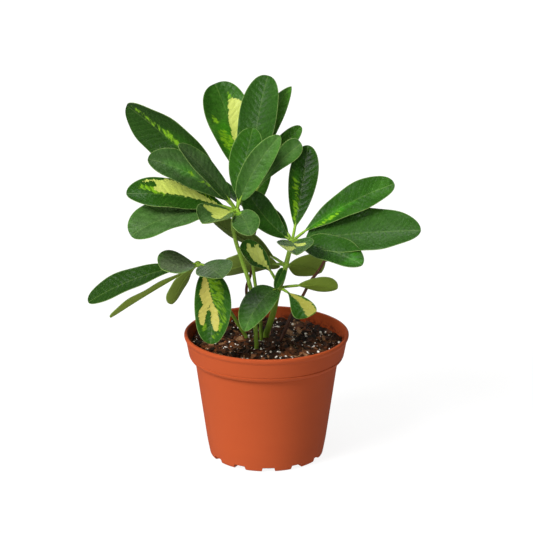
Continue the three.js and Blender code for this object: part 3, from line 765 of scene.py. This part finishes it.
def upper_face_material(sizes):
    """Leaf blade, upper face. Grown, with a thick waxy skin: a dark, satin green with a soft sheen, paler
    midrib and side veins, a pale margin that is partly a painted highlight, cream or lime sectors where
    the tissue lacks its green, and painted light, painted shade and a painted grey sheen laid on in places."""
    material, add = new_material("leaf_blade")
    pitch = sizes.vein_pitch / MM
    signal = leaf_signals(add, pitch)
    # the green lightens in clouds and with the leaflet's shade, which is partly its own tone and partly
    # painted shade and painted light
    cloud = add(NOISE, {"Vector": signal.spot, "Scale": 0.055, "Detail": 3.0})
    shade = add(TIMES_PLUS, (cloud, 1.6, -0.55))
    shade = add(PLUS, (shade, signal.shade), use_clamp=True)

    # a painted grey sheen lies in patches, thinner at the margin; below zero, painted shade lies instead
    patch = add(NOISE, {"Vector": signal.spot, "Scale": 0.11, "Detail": 3.0})
    patch = add(RANGE, (patch, 0.35, 0.65, 0.55, 1.2))
    bloom = add(TIMES, (signal.bloom, add(RANGE, (signal.edge, 0.5, 6.0, 0.45, 0.95))))
    bloom = add(TIMES, (bloom, patch), use_clamp=True)
    dusk = add(TIMES, (signal.bloom, -1.0), use_clamp=True)

    # lime sectors break up into fine streaks
    ripe = add(ATTRIBUTE, out="Fac", attribute_name="leaf_ripe")
    reach = add(TIMES, (signal.lime, 0.14))
    reach = add("ShaderNodeClamp", (reach, -0.4, 0.11))
    lime = add(PLUS, (streaks(add, signal, 1.5, 3.6, 50.0), reach))
    fresh = layered(add, sizes.lime, ("#5c8014", ripe))

    # cream sectors have torn edges that run with the veins
    torn = add(TIMES_PLUS, (streaks(add, signal, 1.3, 5.0, 90.0), 3.4, -1.7))
    cream = add(PLUS, (torn, signal.cream))
    # past a ripeness of 1, the cream darkens with painted shade
    aged = add(MATH, (ripe, 1.0), operation="SUBTRACT", use_clamp=True)
    pale = layered(add, linear("#a3b243"), (sizes.cream, cloud), ("#a39a4c", ripe), ("#808035", aged))

    colour = layered(
        add, sizes.green,
        (sizes.light_green, shade),
        # painted light: a brighter green where light falls on the blade or shines through it
        ("#36790f", signal.bright, -2.5, 3.0, 0.0, 0.75, SMOOTH),
        # painted grey sheen, then painted shade where the sheen value is below zero
        ("#5c6b4c", bloom),
        ("#1d300e", dusk),
        ("#6c9142", signal.apart, 0.0, 0.5, 0.06, 0.0, SMOOTH),
        ("#17330b", streaks(add, signal, 3.0, 3.6, 20.0), 0.35, 0.65, 0.0, 0.34),
        (fresh, lime, 0.48, 0.66, 0.0, 0.85),
        (pale, cream, -0.12, 0.12, 0.0, 1.0),
        ("#86a453", signal.out, 0.15, 0.5, 0.12, 0.0, SMOOTH),
        # the pale margin, partly real and partly a painted highlight where the edge catches light
        ("#93aa60", signal.edge, 0.1, 0.45, 0.5, 0.0))

    # the skin rises between the side veins like small pillows
    grain = add(NOISE, {"Vector": signal.spot, "Scale": 0.55, "Detail": 3.0})
    near_vein = add(RANGE, (signal.apart, 0.0, pitch / 2, 1.0, 0.0))
    pillow = add(MATH, (near_vein, 1.6), operation="POWER")
    height = add(TIMES_PLUS, (pillow, -0.35, grain))
    rough = add(RANGE, (grain, 0.3, 0.7, 0.2, 0.32))
    finish_material(add, {"Base Color": colour, "Roughness": rough, "IOR": 1.45, "Specular IOR Level": 0.3},
                    height, 0.8, 0.45)
    return material


def under_face_material(sizes):
    """Leaf blade, under face. Grown, without the gloss of the upper skin: a dull olive with raised veins."""
    material, add = new_material("leaf_underside")
    signal = leaf_signals(add, sizes.vein_pitch / MM)
    cloud = add(NOISE, {"Vector": signal.spot, "Scale": 0.08, "Detail": 3.0})
    # painted shade: a darker olive on leaflets whose shade is below zero, those that lie in shadow
    dusk = add(TIMES, (signal.shade, -0.6), use_clamp=True)
    vein = add(RANGE, (signal.apart, 0.1, 0.6, 0.16, 0.0), interpolation_type=SMOOTH)
    colour = layered(
        add, sizes.underside,
        ("#728830", cloud),
        ("#2b3d12", dusk),
        ("#b3bb72", signal.cream, -0.5, 0.5, 0.0, 0.75),
        ("#82933f", vein),
        ("#8fa25c", signal.edge, 0.2, 0.6, 0.35, 0.0))
    grain = add(NOISE, {"Vector": signal.spot, "Scale": 1.6, "Detail": 2.0})
    height = add(TIMES_PLUS, (vein, 2.0, grain))
    finish_material(add, {"Base Color": colour, "Roughness": 0.68, "Specular IOR Level": 0.15},
                    height, 0.4, 0.2)
    return material


def stalk_material(name, base, pale):
    """Leaf stalk and stem. Grown, round and smooth: a satin skin with fine lengthwise ribs, clouded lighter
    and darker, with a few corky specks."""
    material, add = new_material(name)
    spot = add(PLACE, out="Object")
    stretch = add("ShaderNodeMapping", {0: spot, 3: (1.0, 1.0, 0.12)})
    cloud = add(NOISE, {"Vector": spot, "Scale": 0.09 * PER_MM, "Detail": 3.0})
    ribs = add(NOISE, {"Vector": stretch, "Scale": 1.8 * PER_MM, "Detail": 1.0})
    specks = add(NOISE, {"Vector": spot, "Scale": 0.7 * PER_MM, "Detail": 1.0})
    colour = layered(add, base, (pale, cloud), ("#8a7a45", specks, 0.66, 0.72, 0.0, 0.4))
    height = add(PLUS, (ribs, cloud))
    rough = add(RANGE, (cloud, 0.3, 0.7, 0.42, 0.58))
    finish_material(add, {"Base Color": colour, "Roughness": rough, "Specular IOR Level": 0.35},
                    height, 0.3, 0.2)
    return material


def plastic_material(sizes):
    """Polypropylene, injection moulded in a lightly blasted tool: an even terracotta colour with a satin
    face, faint flow marks round the wall, and mix dust on the inside just above the mix."""
    material, add = new_material("polypropylene")
    spot = add(PLACE, out="Object")
    flow = add("ShaderNodeMapping", {0: spot, 3: (1.0, 1.0, 5.0)})
    flow = add(NOISE, {"Vector": flow, "Scale": 0.028 * PER_MM, "Detail": 3.0})
    fine = add(NOISE, {"Vector": spot, "Scale": 2.6 * PER_MM, "Detail": 2.0})
    smear = add(NOISE, {"Vector": spot, "Scale": 0.42 * PER_MM, "Detail": 4.0})
    x, y, z = add(SPLIT, (spot,)).node.outputs
    radius = add(VECTOR, (add(JOIN, (x, y)),), out="Value", operation="LENGTH")
    dirt = 1.0
    for signal, low, high, least, most in (
            (radius, 51.2 * MM, 51.8 * MM, 1.0, 0.0), (z, 76.5 * MM, 80.5 * MM, 0.75, 0.0),
            (z, 75.5 * MM, 76.2 * MM, 0.0, 1.0), (smear, 0.45, 0.6, 0.0, 1.0)):
        share = add(RANGE, (signal, low, high, least, most))
        dirt = add(TIMES, (dirt, share))
    colour = layered(add, sizes.plastic, ("#a04724", flow), ("#2a1a12", dirt))
    height = add(TIMES_PLUS, (flow, 2.0, fine))
    rough = add(RANGE, (flow, 0.3, 0.7, 0.5, 0.6))
    finish_material(add, {"Base Color": colour, "Roughness": rough, "IOR": 1.49, "Specular IOR Level": 0.08},
                    height, 0.25, 0.05)
    return material


def humus_material(sizes):
    """Composted bark fines, damp and crumbly: nearly black, with brown crumbs and pale mineral specks."""
    material, add = new_material("composted_bark")
    spot = add(PLACE, out="Object")
    crumbs = add("ShaderNodeTexVoronoi", {"Vector": spot, "Scale": 0.62 * PER_MM}).node.outputs
    specks = add("ShaderNodeTexVoronoi", {"Vector": spot, "Scale": 0.9 * PER_MM}, out="Color")
    brown = add("ShaderNodeSeparateColor", (crumbs["Color"],))
    mineral = add("ShaderNodeSeparateColor", (specks,), out=1)
    colour = layered(add, sizes.humus, (sizes.bark, brown, 0.35, 1.0, 0.0, 0.75),
                     ("#b7a48d", mineral, 0.95, 0.97, 0.0, 0.8))
    fine = add(NOISE, {"Vector": spot, "Scale": 1.5 * PER_MM, "Detail": 3.0})
    height = add(TIMES_PLUS, (crumbs["Distance"], -2.0, fine))
    finish_material(add, {"Base Color": colour, "Roughness": 0.85, "Specular IOR Level": 0.3},
                    height, 0.8, 0.5)
    return material


def strewn_material(name):
    """The start of a material for small bodies, each of which has its own tone."""
    material, add = new_material(name)
    return material, add, add(ATTRIBUTE, out="Fac", attribute_name="tone"), add(PLACE, out="Object")


def chip_material(sizes):
    """Pine bark, milled and composted: brown, fibrous chips, most of them damp and dark, a few of them dry
    and tan."""
    material, add, tone, spot = strewn_material("pine_bark")
    grain = add(NOISE, {"Vector": spot, "Scale": 0.9 * PER_MM, "Detail": 3.0})
    colour = layered(
        add, linear("#1c110b"),
        (sizes.bark, tone, 0.35, 0.85, 0.0, 1.0),
        ("#7c4828", tone, 0.72, 0.84, 0.0, 0.9),
        (sizes.dry_bark, tone, 0.88, 0.94, 0.0, 1.0),
        ("#180e09", grain, 0.42, 0.66, 0.55, 0.0))
    finish_material(add, {"Base Color": colour, "Roughness": 0.72, "Specular IOR Level": 0.4},
                    grain, 0.7, 0.4)
    return material


def perlite_material(sizes):
    """Perlite, expanded in a furnace: light, matt, slightly glassy white crumbs, dusted with brown."""
    material, add, tone, spot = strewn_material("perlite")
    dust = add(NOISE, {"Vector": spot, "Scale": 0.8 * PER_MM, "Detail": 3.0})
    dust = add(TIMES, (dust, tone))
    colour = layered(add, sizes.perlite, ("#8b6f55", dust, 0.3, 0.6, 0.0, 0.4))
    fine = add(NOISE, {"Vector": spot, "Scale": 2.2 * PER_MM, "Detail": 2.0})
    finish_material(add, {"Base Color": colour, "Roughness": 0.75}, fine, 0.5, 0.2)
    return material


def fibre_material():
    """Coir, washed and cut: thin, dull, red-brown to straw-coloured threads."""
    material, add, tone, spot = strewn_material("coir")
    grain = add(NOISE, {"Vector": spot, "Scale": 1.4 * PER_MM, "Detail": 2.0})
    straw = add(TIMES, (tone, grain))
    colour = layered(add, linear("#4b2d1b"), ("#b08a5e", straw))
    finish_material(add, {"Base Color": colour, "Roughness": 0.7, "Specular IOR Level": 0.3})
    return material


# Pot

def rounded(profile):
    """The outline with an arc at each corner that has a radius."""
    result = []
    for i, (r, z, radius) in enumerate(profile):
        if radius == 0:
            result.append((r, z))
            continue
        here = np.array([r, z], float)
        legs = [np.array(profile[k][:2], float) - here for k in (i - 1, i + 1)]
        reach = min(radius, *(np.linalg.norm(leg) * 0.48 for leg in legs))
        start, end = (here + leg / np.linalg.norm(leg) * reach for leg in legs)
        for t in (0.0, 0.25, 0.5, 0.75, 1.0):
            result.append(tuple(start * (1 - t) ** 2 + here * 2 * t * (1 - t) + end * t ** 2))
    return result


def turned_pot_tree():
    """Turns an outline round the upright axis and cuts tapered drain slots through the foot."""
    tree, add, given = geometry_tree("turned_pot", [
        ("Sides", "Int"), ("Slots", "Int"), ("Slot Width", "Float"), ("Slot Height", "Float"),
        ("Slot Start", "Float"), ("Cut Radius", "Float"), ("Cut Depth", "Float"), ("Material", "Material")])
    circle = add("GeometryNodeCurvePrimitiveCircle",
                 {"Resolution": given["Sides"], "Radius": TURNING_RADIUS * MM})
    outline = add("GeometryNodeMeshToCurve", {"Mesh": given["Geometry"]})
    wall = add("GeometryNodeCurveToMesh", {"Curve": circle, "Profile Curve": outline})
    wall = add("GeometryNodeMergeByDistance", {"Geometry": wall, "Distance": WELD * MM})

    # a block twice as high as a slot, half of it below the foot, that narrows upwards
    height = add(TIMES, (given["Slot Height"], 2.0))
    size = add(JOIN, (given["Slot Width"], given["Cut Depth"], height))
    cutter = add("GeometryNodeMeshCube", {"Size": size})
    x, y, z = add(SPLIT, (add("GeometryNodeInputPosition"),)).node.outputs
    taper = add(TIMES, (z, x))
    taper = add(TIMES, (taper, SLOT_TAPER))
    cutter = add("GeometryNodeSetPosition", {"Geometry": cutter, "Offset": add(JOIN, (taper,))})

    # one block to a slot, each turned to face the axis
    ring = add("GeometryNodeMeshCircle", {"Vertices": given["Slots"], "Radius": given["Cut Radius"]})
    turn = add(MATH, (y, x), operation="ARCTAN2")
    turn = add(JOIN, {2: add(PLUS, (turn, math.pi / 2))})
    cutters = add("GeometryNodeInstanceOnPoints", {"Points": ring, "Instance": cutter, "Rotation": turn})
    cutters = add("GeometryNodeRealizeInstances", {"Geometry": cutters})
    spin = add(JOIN, {2: add(PLUS, (given["Slot Start"], -math.pi / 2))})
    cutters = add("GeometryNodeTransform", {"Geometry": cutters, "Rotation": spin})
    cut = add("GeometryNodeMeshBoolean", (wall, cutters), operation="DIFFERENCE")
    finish_tree(add, cut, given["Material"])
    return tree


def face_outwards(piece):
    form = bmesh.new()
    form.from_mesh(piece.data)
    bmesh.ops.recalc_face_normals(form, faces=form.faces)
    form.to_mesh(piece.data)
    form.free()


class UMBRELLA_OT_add_pot(bpy.types.Operator):
    """Adds the moulded pot, turned from its outline, with drain slots round the foot"""
    bl_idname = "umbrella_plant.add_pot"
    bl_label = "Nursery Pot"

    def execute(self, context):
        sizes = context.scene.umbrella_plant.pot
        outline = rounded(POT_PROFILE)
        mesh = bpy.data.meshes.new("outline")
        mesh.from_pydata([((r - TURNING_RADIUS) * MM, -z * MM, 0) for r, z in outline],
                         [(i, i + 1) for i in range(len(outline) - 1)], [])
        blank = linked("outline", mesh)
        node_modifier(blank, turned_pot_tree(), {
            "Sides": sizes.sides, "Slots": sizes.slots, "Slot Width": sizes.slot_width,
            "Slot Height": sizes.slot_height, "Slot Start": sizes.slot_start, "Cut Radius": CUT_RADIUS * MM,
            "Cut Depth": CUT_DEPTH * MM, "Material": plastic_material(sizes)})
        piece = frozen(blank, "moulded_pot")
        if len(piece.data.polygons) < sizes.sides:
            raise RuntimeError("the pot's wall came out empty")
        face_outwards(piece)
        piece.data.shade_smooth()
        piece.data.set_sharp_from_angle(angle=math.radians(SHARP_ANGLE))
        seat(piece, "pot_plastic", "pot")
        return {"FINISHED"}


# Potting mix

def lump(x, y):
    waves = math.sin(0.41 * x + 1.3) * math.cos(0.37 * y - 0.6) + 0.6 * math.sin(0.23 * x - 0.52 * y + 2.1)
    crumbs = 0.7 * math.sin(1.1 * x + 0.4 * y) * math.sin(0.9 * y - 0.7 * x + 1.7)
    return 0.55 * waves + 0.45 * crumbs


def mix_height(x, y):
    """Height of the mix: a little heaped round the stems, lower at the right rear, crumbly all over."""
    r = math.hypot(x, y)
    heap = HEAP_HEIGHT * math.exp(-((r / HEAP_WIDTH) ** 2))
    dip = DIP_DEPTH * math.exp(-((x - DIP_PLACE[0]) ** 2 + (y - DIP_PLACE[1]) ** 2) / DIP_SPREAD)
    fade = min(1.0, (MIX_EDGE_RADIUS - r) / EDGE_FADE + EDGE_SHARE)
    crumbs = sum(height * noise.noise(Vector((x, y, layer)) / size) for height, layer, size in CRUMBS)
    return MIX_LEVEL + heap - dip + (lump(x, y) + crumbs) * fade


def ring_grid(radii, sides, height):
    turns = [2 * math.pi * k / sides for k in range(sides)]
    return [(r * math.cos(a), r * math.sin(a), height(r * math.cos(a), r * math.sin(a)))
            for r in radii for a in turns]


class UMBRELLA_OT_add_mix(bpy.types.Operator):
    """Adds the body of potting mix that fills the pot"""
    bl_idname = "umbrella_plant.add_mix"
    bl_label = "Potting Mix"

    def execute(self, context):
        vertices = []
        for radius, level in MIX_WALL:
            vertices += ring_grid([radius], MIX_SIDES, lambda x, y, z=level: z)
        vertices += ring_grid(np.linspace(MIX_EDGE_RADIUS, 0.5, MIX_RINGS), MIX_SIDES, mix_height)
        piece = mesh_object("potting_mix_bed", vertices, ring_faces(len(MIX_WALL) + MIX_RINGS, MIX_SIDES))
        piece.data.materials.append(humus_material(context.scene.umbrella_plant.mix))
        seat(piece, "potting_mix", "potting_mix")
        return {"FINISHED"}


def chip_shape(add):
    return add("GeometryNodeMeshCube",
               {"Size": (1.0, 1.0, 1.0), "Vertices X": 4, "Vertices Y": 3, "Vertices Z": 2})


def grain_shape(add):
    return add("GeometryNodeMeshIcoSphere", {"Radius": 0.5, "Subdivisions": 2})


def fibre_shape(add):
    arc = add("GeometryNodeCurveQuadraticBezier",
              {"Resolution": 6, "Start": (-0.5, 0, -0.03), "Middle": (0.0, 0.28, 0.22), "End": (0.5, 0, 0)})
    ring = add("GeometryNodeCurvePrimitiveCircle", {"Resolution": 4, "Radius": 0.02})
    return add("GeometryNodeCurveToMesh", {"Curve": arc, "Profile Curve": ring, "Fill Caps": True})


# Strewn bodies: a shape of about unit size, the least and the most of it on each side, its smallest
# length and how far it is roughened and lifted in millimetres, its tilt in radians, the noise that
# roughens it in cells to a millimetre, and its step from the seed of the mix
CHIP = dict(build=chip_shape, least=(0.75, 0.35, 0.16), most=(1.0, 0.75, 0.42), smooth=False,
            smallest=1.5, roughen=1.3, lift=0.1, tilt=0.55, noise=0.33, step=0)
GRAIN = dict(build=grain_shape, least=(0.7, 0.7, 0.6), most=(1.0, 1.0, 0.95), smooth=True,
             smallest=0.7, roughen=0.7, lift=0.4, tilt=3.1, noise=0.7, step=3)
FIBRE = dict(build=fibre_shape, least=(0.9, 0.6, 0.4), most=(1.0, 1.4, 1.0), smooth=True,
             smallest=4, roughen=1.0, lift=0.4, tilt=0.4, noise=0.2, step=2)

STREWN_RADIUS = 48.2
STREWN_SIDES = 96
STREWN_RINGS = 30
SIZE_SKEW = 2.2
TONE_SEED_STEP = 40.0
TONE_SHIFT = 0.4


def scatter_tree(name, shape):
    """Strews one shape over a surface with random place, turn, size and tone, then roughens each piece."""
    tree, add, given = geometry_tree(name, [
        ("Amount", "Float"), ("Length", "Float"), ("Smallest", "Float"), ("Tilt", "Float"),
        ("Roughen", "Float"), ("Lift", "Float"), ("Seed", "Int"), ("Material", "Material")])
    seed, tilt = given["Seed"], given["Tilt"]
    points = add("GeometryNodeDistributePointsOnFaces",
                 {"Mesh": given["Geometry"], "Density": given["Amount"], "Seed": seed})

    # most bodies are small, a few are as long as they come
    size = add(DRAW, {2: 0.0, 3: 1.0, "Seed": seed}, 1, data_type="FLOAT")
    size = add(MATH, (size, SIZE_SKEW), operation="POWER")
    size = add(RANGE, {0: size, 3: given["Smallest"], 4: given["Length"]})
    scale = add(DRAW, {0: shape["least"], 1: shape["most"], "Seed": seed}, data_type="FLOAT_VECTOR")
    scale = add(VECTOR, {0: scale, 3: size}, operation="SCALE")
    low = add(TIMES, (tilt, -1.0))
    turn = {0: add(JOIN, (low, low, 0.0)), 1: add(JOIN, (tilt, tilt, 2 * math.pi)), "Seed": seed}
    strewn = add("GeometryNodeInstanceOnPoints",
                 {"Points": points, "Instance": shape["build"](add), "Scale": scale,
                  "Rotation": add(DRAW, turn, data_type="FLOAT_VECTOR")})
    tone = add(DRAW, {2: 0.0, 3: 1.0, "Seed": add(PLUS, (seed, TONE_SEED_STEP))}, 1, data_type="FLOAT")
    toned = add("GeometryNodeStoreNamedAttribute", {"Geometry": strewn, "Name": "tone", "Value": tone},
                data_type="FLOAT", domain="INSTANCE")
    whole = add("GeometryNodeRealizeInstances", {"Geometry": toned})

    # each body has its own part of the noise
    shift = add("GeometryNodeInputNamedAttribute", {"Name": "tone"}, data_type="FLOAT")
    shift = add(TIMES, (shift, TONE_SHIFT))
    spot = add(VECTOR, (add("GeometryNodeInputPosition"), add(JOIN, (shift, shift, shift))), operation="ADD")
    rough = add(NOISE, {"Vector": spot, "Scale": shape["noise"] * PER_MM, "Detail": 1.0}, out="Color")
    rough = add(VECTOR, (rough, (0.5, 0.5, 0.5)), operation="SUBTRACT")
    rough = add(VECTOR, {0: rough, 3: given["Roughen"]}, operation="SCALE")
    offset = add(VECTOR, (rough, add(JOIN, {2: given["Lift"]})), operation="ADD")
    moved = add("GeometryNodeSetPosition", {"Geometry": whole, "Offset": offset})
    shaded = add("GeometryNodeSetShadeSmooth", {"Geometry": moved, "Shade Smooth": shape["smooth"]})
    finish_tree(add, shaded, given["Material"])
    return tree


def strew(name, shape, count, length, seed, material):
    """One piece of many small bodies on the top of the mix."""
    radii = np.linspace(STREWN_RADIUS, 1.0, STREWN_RINGS)
    top = mesh_object("top", ring_grid(radii, STREWN_SIDES, mix_height),
                      ring_faces(STREWN_RINGS, STREWN_SIDES, closed=False))
    area = math.pi * (STREWN_RADIUS * MM) ** 2
    node_modifier(top, scatter_tree(name + "_scatter", shape), {
        "Amount": count / area, "Length": length, "Smallest": shape["smallest"] * MM, "Tilt": shape["tilt"],
        "Roughen": shape["roughen"] * MM, "Lift": shape["lift"] * MM, "Seed": seed + shape["step"],
        "Material": material})
    piece = frozen(top, name)
    if not piece.data.polygons:
        raise RuntimeError(name + " came out empty")
    seat(piece, "potting_mix")


class UMBRELLA_OT_add_crumbs(bpy.types.Operator):
    """Strews bark chips, perlite grains and coir fibres over the mix"""
    bl_idname = "umbrella_plant.add_crumbs"
    bl_label = "Bark, Perlite and Fibres"

    def execute(self, context):
        sizes = context.scene.umbrella_plant.mix
        strew("bark_chips", CHIP, sizes.chips, sizes.chip_length, sizes.seed, chip_material(sizes))
        strew("perlite_grains", GRAIN, sizes.grains, sizes.grain_size, sizes.seed, perlite_material(sizes))
        strew("coir_fibres", FIBRE, sizes.fibres, sizes.fibre_length, sizes.seed, fibre_material())
        return {"FINISHED"}


class UMBRELLA_OT_add_foliage(bpy.types.Operator):
    """Adds the five compound leaves and the leafy stem"""
    bl_idname = "umbrella_plant.add_foliage"
    bl_label = "Foliage"

    def execute(self, context):
        sizes = context.scene.umbrella_plant.foliage
        upper = upper_face_material(sizes)
        under = under_face_material(sizes)
        stalks = {
            "green": stalk_material("green_stalk", sizes.stalk, linear("#85a43a")),
            "ripe": stalk_material("ripe_stalk", sizes.ripe_stalk, linear("#5a3722")),
        }
        for number, frond in enumerate(FRONDS):
            draw = random.Random(FIRST_SEED + number)
            body = PlantMesh()
            add_stem(body, frond["path"], frond["radii"], draw)
            for whorl in frond["whorls"]:
                add_knob(body, whorl["hub"], whorl["knob"], draw)
                for row in whorl["leaflets"]:
                    add_leaflet(body, whorl, row, sizes, draw)
            piece = body.build(frond["name"], [upper, under, stalks[frond["stalk"]]])
            seat(piece, "foliage", frond["node"])
        return {"FINISHED"}


# Stage. Headings are (azimuth, elevation) in degrees.

CAMERA_DISTANCE = 1.5
CAMERA_HEADING = (-90.0, 17.9)
CAMERA_TARGET = (0.0, 0.0, 0.1286)
CAMERA_LENS = 156.02
SENSOR_WIDTH = 36.0
SUN_HEADING = (-137.0, 40.0)
SUN_STRENGTH = 4.55
SUN_ANGLE = 26
WINDOW_HEADING = (-112.0, 14.0)
FLOOR_REACH = 14000
FLOOR_LEVEL = -0.2


def studio_world():
    """A pale horizon behind, a pale patch overhead and a soft one low in front, darker on the right."""
    world = bpy.data.worlds.new("studio")
    add = cleared(world)
    toward = add(PLACE, out="Generated")
    x, y, z = add(SPLIT, (toward,)).node.outputs
    behind = add(TIMES_PLUS, (x, -0.4, y))
    window = add(VECTOR, (toward, tuple(heading(*WINDOW_HEADING).tolist())), 1, operation="DOT_PRODUCT")
    level = add(RANGE, (z, 0.16, 0.5, 0.62, 0.12), interpolation_type=SMOOTH)
    for signal, low, high, least, most, join in (
            (behind, -0.7, 0.9, 0.1, 1.0, TIMES),
            (z, -0.25, 0.05, 0.3, 1.0, TIMES),
            (z, 0.9, 0.985, 0.0, 3.4, PLUS),
            (window, 0.972, 0.994, 0.0, 6.5, PLUS)):
        share = add(RANGE, (signal, low, high, least, most), interpolation_type=SMOOTH)
        level = add(join, (level, share))
    shade = add("ShaderNodeBackground", {"Color": (1, 1, 1, 1), "Strength": level})
    add("ShaderNodeOutputWorld", {"Surface": shade})
    return world


def floor_material():
    """Backdrop paper, rolled: an even, matt near-white that glows a little, with faint mottling."""
    material, add = new_material("backdrop_paper")
    cloud = add(NOISE, {"Vector": add(PLACE, out="Object"), "Scale": 2.0, "Detail": 2.0})
    colour = layered(add, linear("#616160"), ("#646463", cloud))
    finish_material(add, {"Base Color": colour, "Roughness": 0.95, "Specular IOR Level": 0.0,
                          "Emission Color": (1, 1, 1, 1), "Emission Strength": 0.9})
    return material


class UMBRELLA_OT_add_stage(bpy.types.Operator):
    """Adds the floor, the light, the world and the camera"""
    bl_idname = "umbrella_plant.add_stage"
    bl_label = "Stage"

    def execute(self, context):
        scene = context.scene
        corners = [(-1, -1), (1, -1), (1, 1), (-1, 1)]
        floor = mesh_object("floor", [(x * FLOOR_REACH, y * FLOOR_REACH, FLOOR_LEVEL) for x, y in corners],
                            [(0, 1, 2, 3)], smooth=False)
        floor.data.materials.append(floor_material())
        floor.visible_glossy = False
        scene.world = studio_world()
        scene.view_settings.view_transform = "Standard"

        softbox = bpy.data.lights.new("softbox", "SUN")
        softbox.energy = SUN_STRENGTH
        softbox.angle = math.radians(SUN_ANGLE)
        lamp = linked("softbox", softbox)
        lamp.visible_glossy = False
        lamp.rotation_mode = "QUATERNION"
        lamp.rotation_quaternion = Vector(heading(*SUN_HEADING).tolist()).to_track_quat("Z", "Y")

        lens = bpy.data.cameras.new("camera")
        lens.sensor_fit = "HORIZONTAL"
        lens.sensor_width = SENSOR_WIDTH
        lens.lens = CAMERA_LENS
        lens.clip_start, lens.clip_end = 0.05, 60.0
        camera = linked("camera", lens)
        back = Vector(heading(*CAMERA_HEADING).tolist())
        camera.location = Vector(CAMERA_TARGET) + back * CAMERA_DISTANCE
        camera.rotation_mode = "QUATERNION"
        camera.rotation_quaternion = (-back).to_track_quat("-Z", "Y")
        scene.camera = camera
        return {"FINISHED"}


class UMBRELLA_PT_plant(bpy.types.Panel):
    """Lists the pieces of the plant"""
    bl_idname = "UMBRELLA_PT_plant"
    bl_label = "Umbrella Plant"
    bl_space_type = "VIEW_3D"
    bl_region_type = "UI"
    bl_category = "Umbrella Plant"

    def draw(self, context):
        settings = context.scene.umbrella_plant
        for group, operators in (
                (settings.pot, (UMBRELLA_OT_add_pot,)),
                (settings.mix, (UMBRELLA_OT_add_mix, UMBRELLA_OT_add_crumbs)),
                (settings.foliage, (UMBRELLA_OT_add_foliage,))):
            box = self.layout.box()
            for name in group.__annotations__:
                box.prop(group, name)
            for operator in operators:
                box.operator(operator.bl_idname)
        self.layout.operator(UMBRELLA_OT_add_stage.bl_idname)


CLASSES = (
    UMBRELLA_PG_foliage, UMBRELLA_PG_pot, UMBRELLA_PG_mix, UMBRELLA_PG_plant,
    UMBRELLA_OT_add_pot, UMBRELLA_OT_add_mix, UMBRELLA_OT_add_crumbs, UMBRELLA_OT_add_foliage,
    UMBRELLA_OT_add_stage, UMBRELLA_PT_plant,
)


def register():
    for each in CLASSES:
        bpy.utils.register_class(each)
    bpy.types.Scene.umbrella_plant = bpy.props.PointerProperty(type=UMBRELLA_PG_plant)


def unregister():
    del bpy.types.Scene.umbrella_plant
    for each in reversed(CLASSES):
        bpy.utils.unregister_class(each)


def main():
    register()
    bpy.ops.umbrella_plant.add_pot()
    bpy.ops.umbrella_plant.add_mix()
    bpy.ops.umbrella_plant.add_crumbs()
    bpy.ops.umbrella_plant.add_foliage()
    bpy.ops.umbrella_plant.add_stage()


if __name__ == "__main__":
    main()
